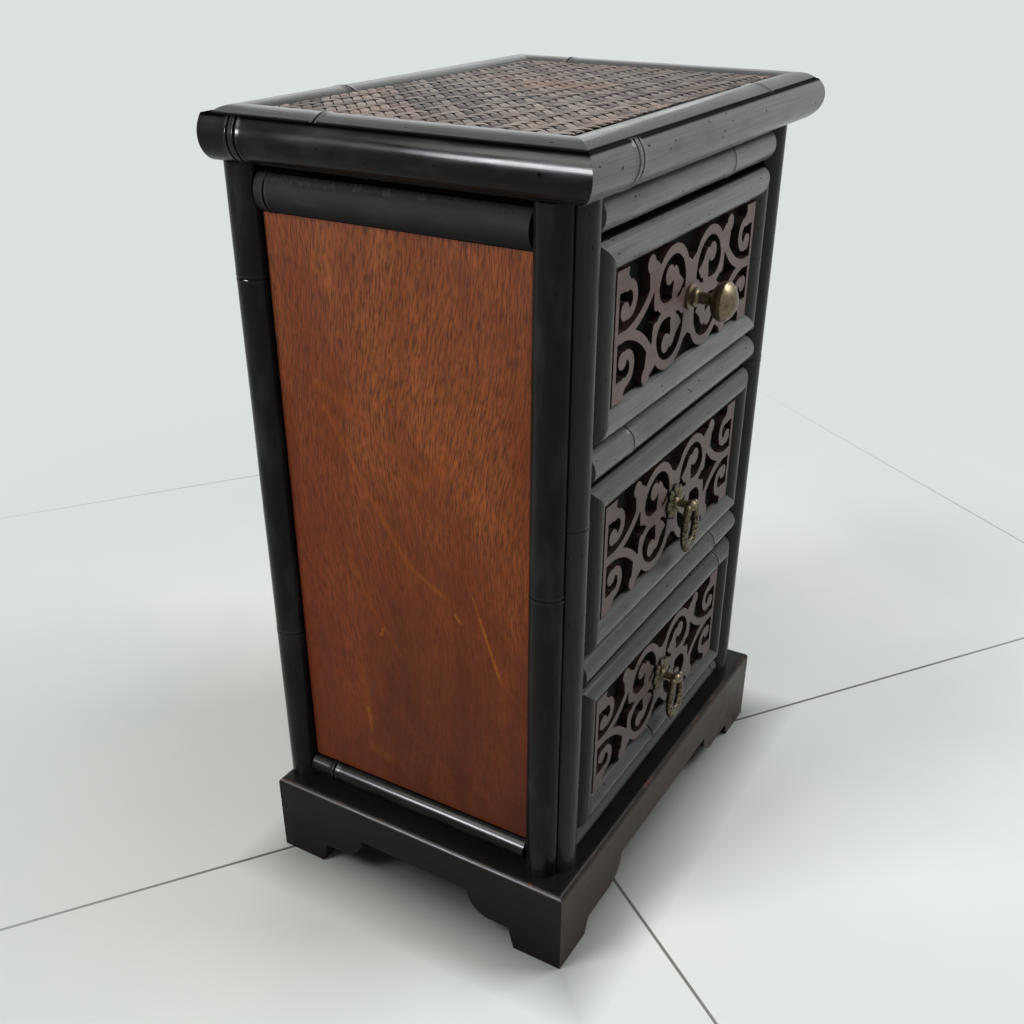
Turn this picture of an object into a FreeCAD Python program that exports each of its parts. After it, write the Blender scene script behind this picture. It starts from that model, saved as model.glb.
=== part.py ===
import FreeCAD, Part
import math
import operator
import os
from types import SimpleNamespace
import Sketcher

# Bamboo chest of three drawers, in millimetres. It stands on z = 0 and faces -Y.
# Its origin is the middle of the floor under its box, from the knob's end to the back of the top.

SIZES = {
    # plinth
    "plinth_height": 75,
    "plinth_board": 16,
    "plinth_edge_round": 5,
    "plinth_lip_front": 23,
    "plinth_lip_side": 24,
    "foot_length": 43,
    "foot_lean": 5,
    "front_foot_step": 15,
    "side_foot_step": 20,
    "front_bracket_run": 38,
    "side_bracket_run": 17,
    "bracket_radius": 22,
    "base_board_thickness": 12,
    "block_side": 30,
    "block_lift": 4,
    # carcass
    "core_width": 350,
    "core_depth": 258.5,
    "side_panel_thickness": 12,
    "back_panel_thickness": 6,
    "stile_depth": 18,
    "cross_member_trim": 2.5,
    "runner_width": 28,
    "runner_thickness": 12,
    "guide_height": 22,
    # split bamboo on the carcass
    "side_post_width": 27,
    "side_post_rise": 13,
    "side_post_setback": 8,
    "face_post_width": 27,
    "face_post_rise": 13.2,
    "face_post_inset": 14.5,
    "rear_post_width": 26.5,
    "rear_post_rise": 13,
    "side_top_rail_width": 27,
    "side_top_rail_rise": 8,
    "side_top_rail_drop": 5,
    "side_bottom_rail_width": 20,
    "side_bottom_rail_rise": 8.5,
    "side_bottom_rail_lift": 3,
    "front_top_rail_width": 26.5,
    "front_bottom_rail_width": 17.5,
    "divider_width": 23.5,
    "front_rail_rise": 11,
    "bottom_rail_rise": 8,
    "ring_height": 0.9,
    "ring_width": 2.4,
    "ring_pair_pitch": 6,
    "cut_margin": 2,
    # top
    "top_overhang_side": 26,
    "top_overhang_front": 28.3,
    "top_edge_radius": 18,
    "top_edge_flat": 13,
    "top_lipping": 8,
    "top_board_thickness": 12,
    "batten_width": 40,
    "strip_inset": 6.5,
    "strip_width": 27,
    "strip_rise": 5,
    "mat_thickness": 2.5,
    "mat_clearance": 0.3,
    # drawers
    "drawer_height": 133,
    "drawer_gap": 4,
    "drawer_side_clearance": 1.5,
    "drawer_front_thickness": 12,
    "drawer_front_proud": 2,
    "drawer_wall": 10,
    "drawer_wall_height": 112,
    "drawer_wall_lift": 4,
    "drawer_bottom_thickness": 5,
    "drawer_bottom_lift": 6,
    "drawer_runner_clearance": 0.3,
    "drawer_back_clearance": 0.5,
    "frame_width": 21,
    "frame_rise": 10.2,
    "grille_thickness": 6,
    "grille_gap_side": 2.5,
    "grille_gap_height": 0.5,
    "grille_band": 7,
    # knob of the top drawer
    "knob_length": 36,
    "knob_head_diameter": 29,
    "knob_head_rim": 2.5,
    "knob_head_dome": 7.5,
    "knob_head_back": 7.5,
    "knob_head_curve": 9,
    "knob_shoulder_diameter": 14,
    "knob_shoulder": 2.5,
    "knob_neck_diameter": 8.6,
    "knob_rose_diameter": 19,
    "knob_rose_rim": 2,
    "knob_rose_step": 2.5,
    "knob_rose_height": 5.5,
    "knob_cove": 3,
    "screw_diameter": 4,
    "screw_head_diameter": 8,
    "screw_head_height": 3,
    "screw_depth": 10,
    "fixing_clearance": 0.1,
    # swinging pulls of the other drawers
    "plate_radius": 11,
    "plate_thickness": 2,
    "petal_radius": 4.2,
    "petal_reach": 11.4,
    "plate_boss_radius": 7.5,
    "plate_boss_height": 1.2,
    "stud_collar_diameter": 9,
    "stud_collar_height": 1.6,
    "stud_diameter": 6,
    "stud_ball_diameter": 9.4,
    "stud_shank_diameter": 4,
    "stud_shank_end": 1.5,
    "pivot_reach": 15.5,
    "nut_radius": 4.4,
    "nut_height": 3.2,
    "loop_bar_diameter": 3,
    "loop_bar_clearance": 0.08,
    "loop_ear_gap": 0.7,
    "loop_ear_width": 3.4,
    "loop_ear_rise": 3,
    "loop_eye_drop": 4,
    "loop_length": 41,
    "loop_leg": 8,
    "loop_outer_radius": 32,
    "loop_inner_radius": 22,
    "loop_thickness": 6.4,
}
PETALS = 8


class Size:
    """A length, with the spreadsheet formula that gives it."""

    def __init__(self, number, formula):
        self.number = number
        self.formula = formula

    def joined(self, other, sign, work):
        other = as_size(other)
        return Size(work(self.number, other.number), f"({self.formula} {sign} {other.formula})")

    def __add__(self, other):
        return self.joined(other, "+", operator.add)

    def __sub__(self, other):
        return self.joined(other, "-", operator.sub)

    def __mul__(self, other):
        return self.joined(other, "*", operator.mul)

    def __truediv__(self, other):
        return self.joined(other, "/", operator.truediv)

    def __radd__(self, other):
        return as_size(other) + self

    def __rsub__(self, other):
        return as_size(other) - self

    def __rmul__(self, other):
        return as_size(other) * self

    def __neg__(self):
        return as_size(0) - self


def as_size(value):
    """The value itself where it is a size, or a size with that fixed number."""
    return value if isinstance(value, Size) else Size(float(value), str(float(value)))


def root(size):
    """The square root of a size."""
    return Size(math.sqrt(size.number), f"sqrt({size.formula})")


doc = FreeCAD.newDocument("bamboo_chest")
sheet = doc.addObject("Spreadsheet::Sheet", "Sizes")
for row, (alias, number) in enumerate(SIZES.items(), start=1):
    sheet.set(f"A{row}", str(number))
    sheet.setAlias(f"A{row}", alias)
doc.recompute()
s = SimpleNamespace(**{alias: Size(float(number), f"Sizes.{alias}") for alias, number in SIZES.items()})
subparts = []


def bind(thing, place, size):
    """Ties one property of an object to the spreadsheet."""
    thing.setExpression(place, as_size(size).formula)


def put(thing, x, y, z, turn=FreeCAD.Rotation()):
    """Turns an object and ties its place to the spreadsheet."""
    thing.Placement = FreeCAD.Placement(FreeCAD.Vector(), turn)
    bind(thing, "Placement.Base.x", x)
    bind(thing, "Placement.Base.y", y)
    bind(thing, "Placement.Base.z", z)
    return thing


def subpart(thing):
    """Keeps an object as one of the chest's pieces."""
    subparts.append(thing)
    return thing


def group(label, members):
    """Keeps like pieces together as one sub-part of separate solids."""
    together = doc.addObject("Part::Compound", label)
    together.Links = members
    return subpart(together)


def board(label, length, width, height, x, y, z):
    """A flat board, from its lowest corner."""
    box = doc.addObject("Part::Box", label)
    bind(box, "Length", length)
    bind(box, "Width", width)
    bind(box, "Height", height)
    return put(box, x, y, z)


def rod(label, radius, length, x, y, z, turn):
    """A round rod, from the middle of its first end."""
    cylinder = doc.addObject("Part::Cylinder", label)
    bind(cylinder, "Radius", radius)
    bind(cylinder, "Height", length)
    return put(cylinder, x, y, z, turn)


def bored(label, solid, drill):
    """A solid with a hole drilled through it."""
    cut = doc.addObject("Part::Cut", label)
    cut.Base = solid
    cut.Tool = drill
    return cut


def turned(axis, angle):
    """A turn about one of the main axes, in degrees."""
    return FreeCAD.Rotation(FreeCAD.Vector(*axis), angle)


UPRIGHT = turned((1, 0, 0), 90)
AXIS_Y = (0, 1, 0)
AXIS_Z = (0, 0, 1)
AWAY = turned(AXIS_Z, 180)
FACING = {"front": 0, "left": -90, "right": 90, "back": 180}


def sketch_on(body, plane, offset=None):
    """A sketch on one of a body's own planes, moved along it by an offset."""
    sketch = body.newObject("Sketcher::SketchObject", f"{body.Name}_sketch")
    support = next(feature for feature in body.Origin.OriginFeatures if feature.Role == plane)
    sketch.AttachmentSupport = (support, [""])
    sketch.MapMode = "FlatFace"
    if offset is not None:
        bind(sketch, "AttachmentOffset.Base.z", offset)
    return sketch


def tie_point(sketch, geometry, vertex, across, up):
    """Fixes a sketch point at a distance across and up from the sketch's origin."""
    for kind, axis, size in (("DistanceX", -2, across), ("DistanceY", -1, up)):
        if size.number == 0:
            sketch.addConstraint(Sketcher.Constraint("PointOnObject", geometry, vertex, axis))
        else:
            index = sketch.addConstraint(Sketcher.Constraint(kind, -1, 1, geometry, vertex, size.number))
            sketch.renameConstraint(index, f"{kind}_{geometry}_{vertex}")
            bind(sketch, f"Constraints.{kind}_{geometry}_{vertex}", size)


def outline(sketch, corners, arcs=None):
    """A closed outline through corners. arcs maps a side's number to its radius and to 1 where the
    centre lies on the left of that side's travel, or to -1 where it lies on the right."""
    arcs = arcs or {}
    corners = [(as_size(across), as_size(up)) for across, up in corners]
    points = [FreeCAD.Vector(across.number, up.number, 0) for across, up in corners]
    ends = []
    for side, start in enumerate(points):
        finish = points[(side + 1) % len(points)]
        if side not in arcs:
            geometry = sketch.addGeometry(Part.LineSegment(start, finish), False)
            ends.append((geometry, 1, 2))
            continue
        radius, hand = arcs[side]
        travel = finish - start
        middle = (start + finish) * 0.5
        height = math.sqrt(max(radius.number ** 2 - travel.Length ** 2 / 4, 0))
        left = FreeCAD.Vector(-travel.y, travel.x, 0).normalize()
        centre = middle + left * (hand * height)
        angles = [math.atan2(point.y - centre.y, point.x - centre.x) for point in (start, finish)[::hand]]
        circle = Part.Circle(centre, FreeCAD.Vector(0, 0, 1), radius.number)
        geometry = sketch.addGeometry(Part.ArcOfCircle(circle, *angles), False)
        ends.append((geometry, 1, 2) if hand == 1 else (geometry, 2, 1))
        index = sketch.addConstraint(Sketcher.Constraint("Radius", geometry, radius.number))
        sketch.renameConstraint(index, f"Radius_{geometry}")
        bind(sketch, f"Constraints.Radius_{geometry}", radius)
    for side, (geometry, first, last) in enumerate(ends):
        following, start, _ = ends[(side + 1) % len(ends)]
        sketch.addConstraint(Sketcher.Constraint("Coincident", geometry, last, following, start))
        tie_point(sketch, geometry, first, *corners[side])


def round_outline(sketch, across, up, radius):
    """A circle at a tied centre."""
    centre = FreeCAD.Vector(as_size(across).number, as_size(up).number, 0)
    circle = Part.Circle(centre, FreeCAD.Vector(0, 0, 1), radius.number)
    geometry = sketch.addGeometry(circle, False)
    index = sketch.addConstraint(Sketcher.Constraint("Radius", geometry, radius.number))
    sketch.renameConstraint(index, f"Radius_{geometry}")
    bind(sketch, f"Constraints.Radius_{geometry}", radius)
    tie_point(sketch, geometry, 3, as_size(across), as_size(up))


def new_body(label):
    """An empty body with its label."""
    body = doc.addObject("PartDesign::Body", label)
    body.Label = label
    return body


def pad(body, sketch, length, symmetric=True):
    """Thickens a sketch, to both sides or along its normal."""
    feature = body.newObject("PartDesign::Pad", f"{body.Name}_pad")
    feature.Profile = sketch
    if symmetric:
        feature.SideType = "Symmetric"
    bind(feature, "Length", length)
    return feature


def pocket(body, sketch):
    """Cuts a sketch right through, to both sides."""
    feature = body.newObject("PartDesign::Pocket", f"{body.Name}_cut")
    feature.Profile = sketch
    feature.Type = "ThroughAll"
    feature.SideType = "Symmetric"
    return feature


def revolve(body, sketch):
    """Turns a sketch once round its upright axis."""
    feature = body.newObject("PartDesign::Revolution", f"{body.Name}_turn")
    feature.Profile = sketch
    feature.ReferenceAxis = (sketch, ["V_Axis"])
    feature.Angle = 360
    return feature


# Split bamboo: a pole's section, its raised joints and its mitred ends


def half_round(width, rise):
    """The section of a split pole, of a given width and rise. A joint is no wider at its foot."""
    def draw(sketch, swell):
        half = width / 2
        radius = (half * half + rise * rise) / (2 * rise)
        full = radius + swell
        corners = [(-half, 0), (half, 0)]
        if swell:
            shoulder = rise - radius + root(full * full - half * half)
            corners = corners + [(half, shoulder), (-half, shoulder)]
        outline(sketch, corners, {len(corners) // 2: (full, 1)})
    return draw


def edge_section(radius, flat):
    """A split pole lying on edge, planed flat along its top."""
    def draw(sketch, swell):
        full = radius + swell
        corners = [(-radius, 0), (flat, 0), (flat, root(full * full - flat * flat))]
        if swell:
            corners.append((-radius, root(full * full - radius * radius)))
        outline(sketch, corners, {2: (full, 1)})
    return draw


def bamboo(label, section, length, rings=(), plane="YZ_Plane", symmetric=True):
    """A split pole along its body's own axis, with a raised ring at each joint."""
    body = new_body(label)
    profile = sketch_on(body, plane)
    section(profile, 0)
    pad(body, profile, length, symmetric)
    for place in rings:
        ring = sketch_on(body, plane, place)
        section(ring, s.ring_height)
        pad(body, ring, s.ring_width)
    return body


def mitre_flat(body, length, depth, inner):
    """Cuts both ends at 45 degrees in the plane of the frame, leaving the outer edge long."""
    reach = depth + 2 * s.cut_margin
    far = length / 2 + s.cut_margin
    near = inner + s.cut_margin
    sketch = sketch_on(body, "XY_Plane")
    for hand in (1, -1):
        outline(sketch, [(hand * far, near), (hand * (far - reach), near), (hand * far, near - reach)])
    pocket(body, sketch)
    return body


def mitre_upright(body, length, depth, ends=(1, -1)):
    """Cuts the given ends at 45 degrees, leaving the crown long."""
    reach = depth + 2 * s.cut_margin
    far = length / 2 + s.cut_margin
    low = -s.cut_margin
    sketch = sketch_on(body, "XZ_Plane")
    for hand in ends:
        outline(sketch, [(hand * far, low), (hand * (far - reach), low), (hand * far, low + reach)])
    pocket(body, sketch)
    return body


# Levels and faces that the pieces share

drawer_face_reach = s.drawer_front_proud + s.grille_thickness
core_front = (drawer_face_reach + s.knob_length - s.core_depth) / 2
core_back = core_front + s.core_depth
core_side = s.core_width / 2
drawer_slot = s.drawer_height + 2 * s.drawer_gap
bottom_slot = s.plinth_height + s.front_bottom_rail_width
slot_floors = [bottom_slot + level * (drawer_slot + s.divider_width) for level in range(3)]
carcass_top = slot_floors[2] + drawer_slot + s.front_top_rail_width
carcass_height = carcass_top - s.plinth_height
bay_half = core_side - s.face_post_inset - s.face_post_width / 2
panel_inside = core_side - s.side_panel_thickness

# Plinth: four boards with bracket feet, mitred at the corners and flush with the carcass at the back

plinth_front_face = core_front - s.plinth_lip_front
plinth_back_face = core_back
plinth_side_face = core_side + s.plinth_lip_side
plinth_width = 2 * plinth_side_face
plinth_depth = plinth_back_face - plinth_front_face
plinth_middle = (plinth_front_face + plinth_back_face) / 2


def plinth_board(label, length, x, y, facing, step, run):
    """One plinth board, with its eased top edge, its mitres and the cut-out between its feet. From each
    foot the cut-out steps up, runs level and rises round a quarter circle to the straight apron."""
    thick = s.plinth_board
    tall = s.plinth_height
    ease = s.plinth_edge_round
    body = new_body(label)
    section = sketch_on(body, "YZ_Plane")
    corners = [(-thick, 0), (0, 0), (0, tall), (ease - thick, tall), (-thick, tall - ease)]
    outline(section, corners, {3: (ease, 1)})
    pad(body, section, length)
    foot = length / 2 - s.foot_length
    toe = foot - s.foot_lean
    brow = toe - run
    crest = step + s.bracket_radius
    below = -s.cut_margin
    opening = sketch_on(body, "XZ_Plane")
    right = [(foot, below), (foot, 0), (toe, step), (brow, step), (brow - s.bracket_radius, crest)]
    left = [(-across, up) for across, up in right[::-1]]
    outline(opening, right + left, {3: (s.bracket_radius, -1), 5: (s.bracket_radius, -1)})
    pocket(body, opening)
    mitre_flat(body, length, thick, as_size(0))
    return subpart(put(body, x, y, 0, turned(AXIS_Z, FACING[facing])))


front_cut = (s.front_foot_step, s.front_bracket_run)
side_cut = (s.side_foot_step, s.side_bracket_run)
inner_side = plinth_side_face - s.plinth_board
plinth_board("plinth_front", plinth_width, 0, plinth_front_face + s.plinth_board, "front", *front_cut)
plinth_board("plinth_back", plinth_width, 0, plinth_back_face - s.plinth_board, "back", *front_cut)
plinth_board("plinth_left", plinth_depth, -inner_side, plinth_middle, "left", *side_cut)
plinth_board("plinth_right", plinth_depth, inner_side, plinth_middle, "right", *side_cut)

# Glue blocks in the plinth's corners, and the base board that they carry

base_half_width = inner_side
base_front = plinth_front_face + s.plinth_board
base_back = plinth_back_face - s.plinth_board
base_underside = s.plinth_height - s.base_board_thickness
blocks = []
for corner_x in (-base_half_width, base_half_width - s.block_side):
    for corner_y in (base_front, base_back - s.block_side):
        label = f"glue_block_{len(blocks) + 1}"
        tall = base_underside - s.block_lift
        blocks.append(board(label, s.block_side, s.block_side, tall, corner_x, corner_y, s.block_lift))
group("plinth_blocks", blocks)
subpart(board("base_board", 2 * base_half_width, base_back - base_front, s.base_board_thickness,
              -base_half_width, base_front, base_underside))

# Carcass: side panels, back, the front's stiles and cross members

panel_depth = s.core_depth - s.back_panel_thickness
for label, x in (("side_panel_left", -core_side), ("side_panel_right", panel_inside)):
    subpart(board(label, s.side_panel_thickness, panel_depth, carcass_height, x, core_front, s.plinth_height))
subpart(board("back_panel", s.core_width, s.back_panel_thickness, carcass_height,
              -core_side, core_back - s.back_panel_thickness, s.plinth_height))
stile_width = panel_inside - bay_half
group("front_stiles", [
    board(f"front_stile_{side}", stile_width, s.stile_depth, carcass_height, x, core_front, s.plinth_height)
    for side, x in (("left", -panel_inside), ("right", bay_half))])
member_floors = [s.plinth_height] + [floor - s.divider_width for floor in slot_floors[1:]]
member_heights = [s.front_bottom_rail_width, s.divider_width, s.divider_width, s.front_top_rail_width]
member_floors.append(carcass_top - s.front_top_rail_width)
trims = [(0, 1), (1, 1), (1, 1), (1, 0)]
members = []
for floor, tall, (under, over) in zip(member_floors, member_heights, trims):
    label = f"cross_member_{len(members) + 1}"
    member_height = tall - (under + over) * s.cross_member_trim
    low = floor + under * s.cross_member_trim
    members.append(board(label, 2 * bay_half, s.stile_depth, member_height, -bay_half, core_front, low))
group("cross_members", members)

# Drawer runners and guides, along both side panels at each drawer

runner_front = core_front + s.stile_depth
runner_length = core_back - s.back_panel_thickness - runner_front
drawer_floors = [floor + s.drawer_gap for floor in slot_floors]
wall_floors = [floor + s.drawer_wall_lift for floor in drawer_floors]
runners = []
guides = []
for wall_floor in wall_floors:
    runner_top = wall_floor - s.drawer_runner_clearance
    runner_low = runner_top - s.runner_thickness
    for x in (-panel_inside, panel_inside - s.runner_width):
        label = f"runner_{len(runners) + 1}"
        runners.append(board(label, s.runner_width, runner_length, s.runner_thickness,
                             x, runner_front, runner_low))
    for x in (-panel_inside, bay_half):
        label = f"guide_{len(guides) + 1}"
        guides.append(board(label, stile_width, runner_length, s.guide_height, x, runner_front, runner_top))
group("drawer_runners", runners)
group("drawer_guides", guides)

# Split-bamboo posts: one on the side and one on the front of each front corner, one at each rear corner

OUT_LEFT = turned(AXIS_Y, -90)
OUT_RIGHT = AWAY * OUT_LEFT
OUT_FRONT = turned(AXIS_Z, 90) * OUT_LEFT
post_middle = s.plinth_height + carcass_height / 2


def post(label, width, rise, rings, x, y, turn):
    """An upright split pole, with its joints at shares of its height above and below its middle."""
    body = bamboo(label, half_round(width, rise), carcass_height, [carcass_height * share for share in rings])
    return put(body, x, y, post_middle, turn)


side_post_y = core_front + s.side_post_setback
face_post_x = core_side - s.face_post_inset
side_post = (s.side_post_width, s.side_post_rise)
face_post = (s.face_post_width, s.face_post_rise)
rear_post = (s.rear_post_width, s.rear_post_rise)
subpart(post("post_front_left_side", *side_post, [-0.01], -core_side, side_post_y, OUT_LEFT))
subpart(post("post_front_right_side", *side_post, [-0.06], core_side, side_post_y, OUT_RIGHT))
subpart(post("post_front_left_face", *face_post, [0.085], -face_post_x, core_front, OUT_FRONT))
subpart(post("post_front_right_face", *face_post, [0.128], face_post_x, core_front, OUT_FRONT))
rear_post_y = core_back - s.rear_post_width / 2
rear_rings = [-0.213, 0.35]
group("rear_posts", [
    post("rear_post_left", *rear_post, rear_rings, -core_side, rear_post_y, OUT_LEFT),
    post("rear_post_right", *rear_post, rear_rings, core_side, rear_post_y, OUT_RIGHT)])

# Split-bamboo rails on the sides and the front

side_rail_front = side_post_y + s.side_post_width / 2
side_rail_back = core_back - s.rear_post_width
side_rail_length = side_rail_back - side_rail_front
side_rail_middle = (side_rail_front + side_rail_back) / 2
side_top_floor = carcass_top - s.side_top_rail_drop - s.side_top_rail_width
side_bottom_floor = s.plinth_height + s.side_bottom_rail_lift
side_rails = [
    ("top", side_top_floor, s.side_top_rail_width, s.side_top_rail_rise, -0.46),
    ("bottom", side_bottom_floor, s.side_bottom_rail_width, s.side_bottom_rail_rise, -0.39),
]
for level, floor, wide, rise, share in side_rails:
    ring = side_rail_length * share
    for side, hand in (("left", -1), ("right", 1)):
        body = bamboo(f"side_rail_{level}_{side}", half_round(wide, rise), side_rail_length, [ring])
        turn = turned(AXIS_Z, FACING[side]) * UPRIGHT
        subpart(put(body, hand * core_side, side_rail_middle, floor + wide / 2, turn))

front_rails = [
    ("front_rail_top", carcass_top - s.front_top_rail_width, s.front_top_rail_width, s.front_rail_rise, 0.21),
    ("front_divider_upper", slot_floors[2] - s.divider_width, s.divider_width, s.front_rail_rise, -0.3),
    ("front_divider_lower", slot_floors[1] - s.divider_width, s.divider_width, s.front_rail_rise, 0.33),
    ("front_rail_bottom", s.plinth_height, s.front_bottom_rail_width, s.bottom_rail_rise, 0.46),
]
for label, floor, wide, rise, share in front_rails:
    body = bamboo(label, half_round(wide, rise), 2 * bay_half, [2 * bay_half * share])
    subpart(put(body, 0, core_front, floor + wide / 2, UPRIGHT))

# Top: battens, board, edge mouldings, a plain lipping at the back, flat strips and the woven mat

top_front = core_front - s.top_overhang_front
top_back = core_back
top_side = core_side + s.top_overhang_side
top_middle = (top_front + top_back) / 2
top_width = 2 * top_side
top_depth = top_back - top_front
edge_radius = s.top_edge_radius
edge_middle = carcass_top + edge_radius
top_face = edge_middle + s.top_edge_flat
core_top_half = top_side - edge_radius
core_top_front = top_front + edge_radius
core_top_back = top_back - s.top_lipping
core_top_depth = core_top_back - core_top_front
batten_height = top_face - s.top_board_thickness - carcass_top
batten_run = core_top_depth - 2 * s.batten_width
battens = [
    board("batten_front", 2 * core_top_half, s.batten_width, batten_height,
          -core_top_half, core_top_front, carcass_top),
    board("batten_back", 2 * core_top_half, s.batten_width, batten_height,
          -core_top_half, core_top_back - s.batten_width, carcass_top),
    board("batten_left", s.batten_width, batten_run, batten_height,
          -core_top_half, core_top_front + s.batten_width, carcass_top),
    board("batten_right", s.batten_width, batten_run, batten_height,
          core_top_half - s.batten_width, core_top_front + s.batten_width, carcass_top),
]
group("top_battens", battens)
subpart(board("top_board", 2 * core_top_half, core_top_depth, s.top_board_thickness,
              -core_top_half, core_top_front, top_face - s.top_board_thickness))

subpart(board("top_edge_back", 2 * core_top_half, s.top_lipping, top_face - carcass_top,
              -core_top_half, core_top_back, carcass_top))

half_pair = s.ring_pair_pitch / 2
top_edges = [
    ("front", top_width, 0, core_top_front, -0.347, (1, -1)),
    ("left", top_depth, -core_top_half, top_middle, -0.4, (1,)),
    ("right", top_depth, core_top_half, top_middle, 0.18, (-1,)),
]
for side, length, x, y, share, mitred in top_edges:
    joint = length * share
    body = bamboo(f"top_edge_{side}", edge_section(edge_radius, s.top_edge_flat), length,
                  [joint - half_pair, joint + half_pair])
    mitre_upright(body, length, edge_radius, mitred)
    subpart(put(body, x, y, edge_middle, turned(AXIS_Z, FACING[side]) * UPRIGHT))

strip_middle_inset = s.strip_inset + s.strip_width / 2
strips = [
    ("front", top_width, 0, top_front + strip_middle_inset, 0.238),
    ("back", top_width, 0, top_back - strip_middle_inset, 0.19),
    ("left", top_depth, strip_middle_inset - top_side, top_middle, -0.19),
    ("right", top_depth, top_side - strip_middle_inset, top_middle, 0.27),
]
for side, span, x, y, share in strips:
    length = span - 2 * s.strip_inset
    body = bamboo(f"top_strip_{side}", half_round(s.strip_width, s.strip_rise), length, [length * share])
    mitre_flat(body, length, s.strip_width, s.strip_width / 2)
    subpart(put(body, x, y, top_face, turned(AXIS_Z, FACING[side])))

mat_border = s.strip_inset + s.strip_width + s.mat_clearance
subpart(board("woven_mat", top_width - 2 * mat_border, top_depth - 2 * mat_border, s.mat_thickness,
              mat_border - top_side, top_front + mat_border, top_face))

# Pierced scroll grille: bands along arcs, discs at their eyes, drawn for one quarter and mirrored

DRAWN_HALF_WIDTH = 123.0
DRAWN_HALF_HEIGHT = 45.0
SCROLLS = [
    [((-107.3, 32.6), (-94.4, 24.5), (-104.8, 13.8))],
    [((-121.0, 0.0), (-92.0, 3.7), (-67.0, 21.0))],
    [((-58.7, 7.4), (-33.0, 40.9), (-6.7, 10.6))],
    [((-59.3, 17.0), (-53.5, 6.3), (-40.0, 2.2)), ((-40.0, 2.2), (-25.5, 10.5), (-30.0, 25.5))],
]
EYES = [((-109.3, 16.6), 6.3), ((-70.5, 38.7), 6.3), ((-38.8, 24.2), 7.0)]
LEAVES = [
    [(-122.0, 30.0), (-108.0, 30.0), (-101.0, 35.0), (-106.0, 40.0), (-105.0, 45.0), (-122.0, 45.0)],
    [(-71.0, 19.0), (-60.0, 17.0), (-52.0, 33.0), (-62.5, 39.5), (-73.5, 38.5)],
    [(-22.0, 21.0), (-13.5, 15.0), (-20.0, 8.0), (-27.0, 9.0)],
    [(-36.5, 28.0), (-27.0, 26.0), (-21.5, 9.5), (-30.0, 4.0), (-33.0, 8.5), (-31.5, 17.0)],
    [(-123.0, 0.0), (-118.3, 0.0), (-118.3, 45.0), (-123.0, 45.0)],
    [(0.0, 0.0), (-37.0, 0.0), (-37.0, 4.0), (-19.0, 5.0),
     (-14.0, 9.0), (-9.5, 9.0), (-9.5, 31.0), (0.0, 26.5)],
]


def grille_shape(half_width, half_height, band, thick, drill_radius):
    """The pierced panel lying on its back about its middle, with a hole for the pull's fixing."""
    stretch = (half_width / DRAWN_HALF_WIDTH, half_height / DRAWN_HALF_HEIGHT)
    growth = math.sqrt(stretch[0] * stretch[1])
    faces = []
    for flip_x in (1, -1):
        for flip_z in (1, -1):
            def spot(point):
                return FreeCAD.Vector(point[0] * stretch[0] * flip_x, point[1] * stretch[1] * flip_z, 0)
            for scroll in SCROLLS:
                wire = Part.Wire([Part.Arc(*map(spot, points)).toShape() for points in scroll])
                faces.append(wire.makeOffset2D(band / 2, 0, True, False, False))
            for centre, radius in EYES:
                faces.append(Part.Face(Part.Wire([Part.makeCircle(radius * growth, spot(centre))])))
            for leaf in LEAVES:
                faces.append(Part.Face(Part.makePolygon([spot(point) for point in leaf + leaf[:1]])))
    sheet_corner = FreeCAD.Vector(-half_width, -half_height, 0)
    panel = Part.makePlane(2 * half_width, 2 * half_height, sheet_corner)
    pieces = faces[0].fuse(faces[1:]).common(panel).Faces
    pieces = [piece if piece.normalAt(0, 0).z > 0 else piece.reversed() for piece in pieces]
    pierced = Part.makeShell(pieces).removeSplitter()
    drilled = pierced.cut(Part.Face(Part.Wire([Part.makeCircle(drill_radius)])))
    if len(drilled.Faces) != 1:
        raise RuntimeError("the grille's scrolls do not all touch")
    return drilled.Faces[0].extrude(FreeCAD.Vector(0, 0, thick))


# Drawers: front board, grille, mitred bamboo frame, walls and bottom

front_width = 2 * (bay_half - s.drawer_side_clearance)
front_face = core_front - s.drawer_front_proud
front_inside = front_face + s.drawer_front_thickness
grille_face = front_face - s.grille_thickness
wall_back = core_back - s.back_panel_thickness - s.drawer_back_clearance
wall_length = wall_back - front_inside
box_inside = front_width - 2 * s.drawer_wall
fixing_hole = s.stud_shank_diameter / 2 + s.fixing_clearance
grille_half_width = front_width / 2 - s.frame_width - s.grille_gap_side
grille_half_height = s.drawer_height / 2 - s.frame_width - s.grille_gap_height
grille = grille_shape(grille_half_width.number, grille_half_height.number, s.grille_band.number,
                      s.grille_thickness.number, fixing_hole.number)
frame_rings = {
    "bottom": {"top": [-front_width * 0.38], "bottom": [-front_width * 0.054]},
    "middle": {"left": [s.drawer_height * 0.36]},
    "top": {"right": [-s.drawer_height * 0.01]},
}
drawer_middles = {}
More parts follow.
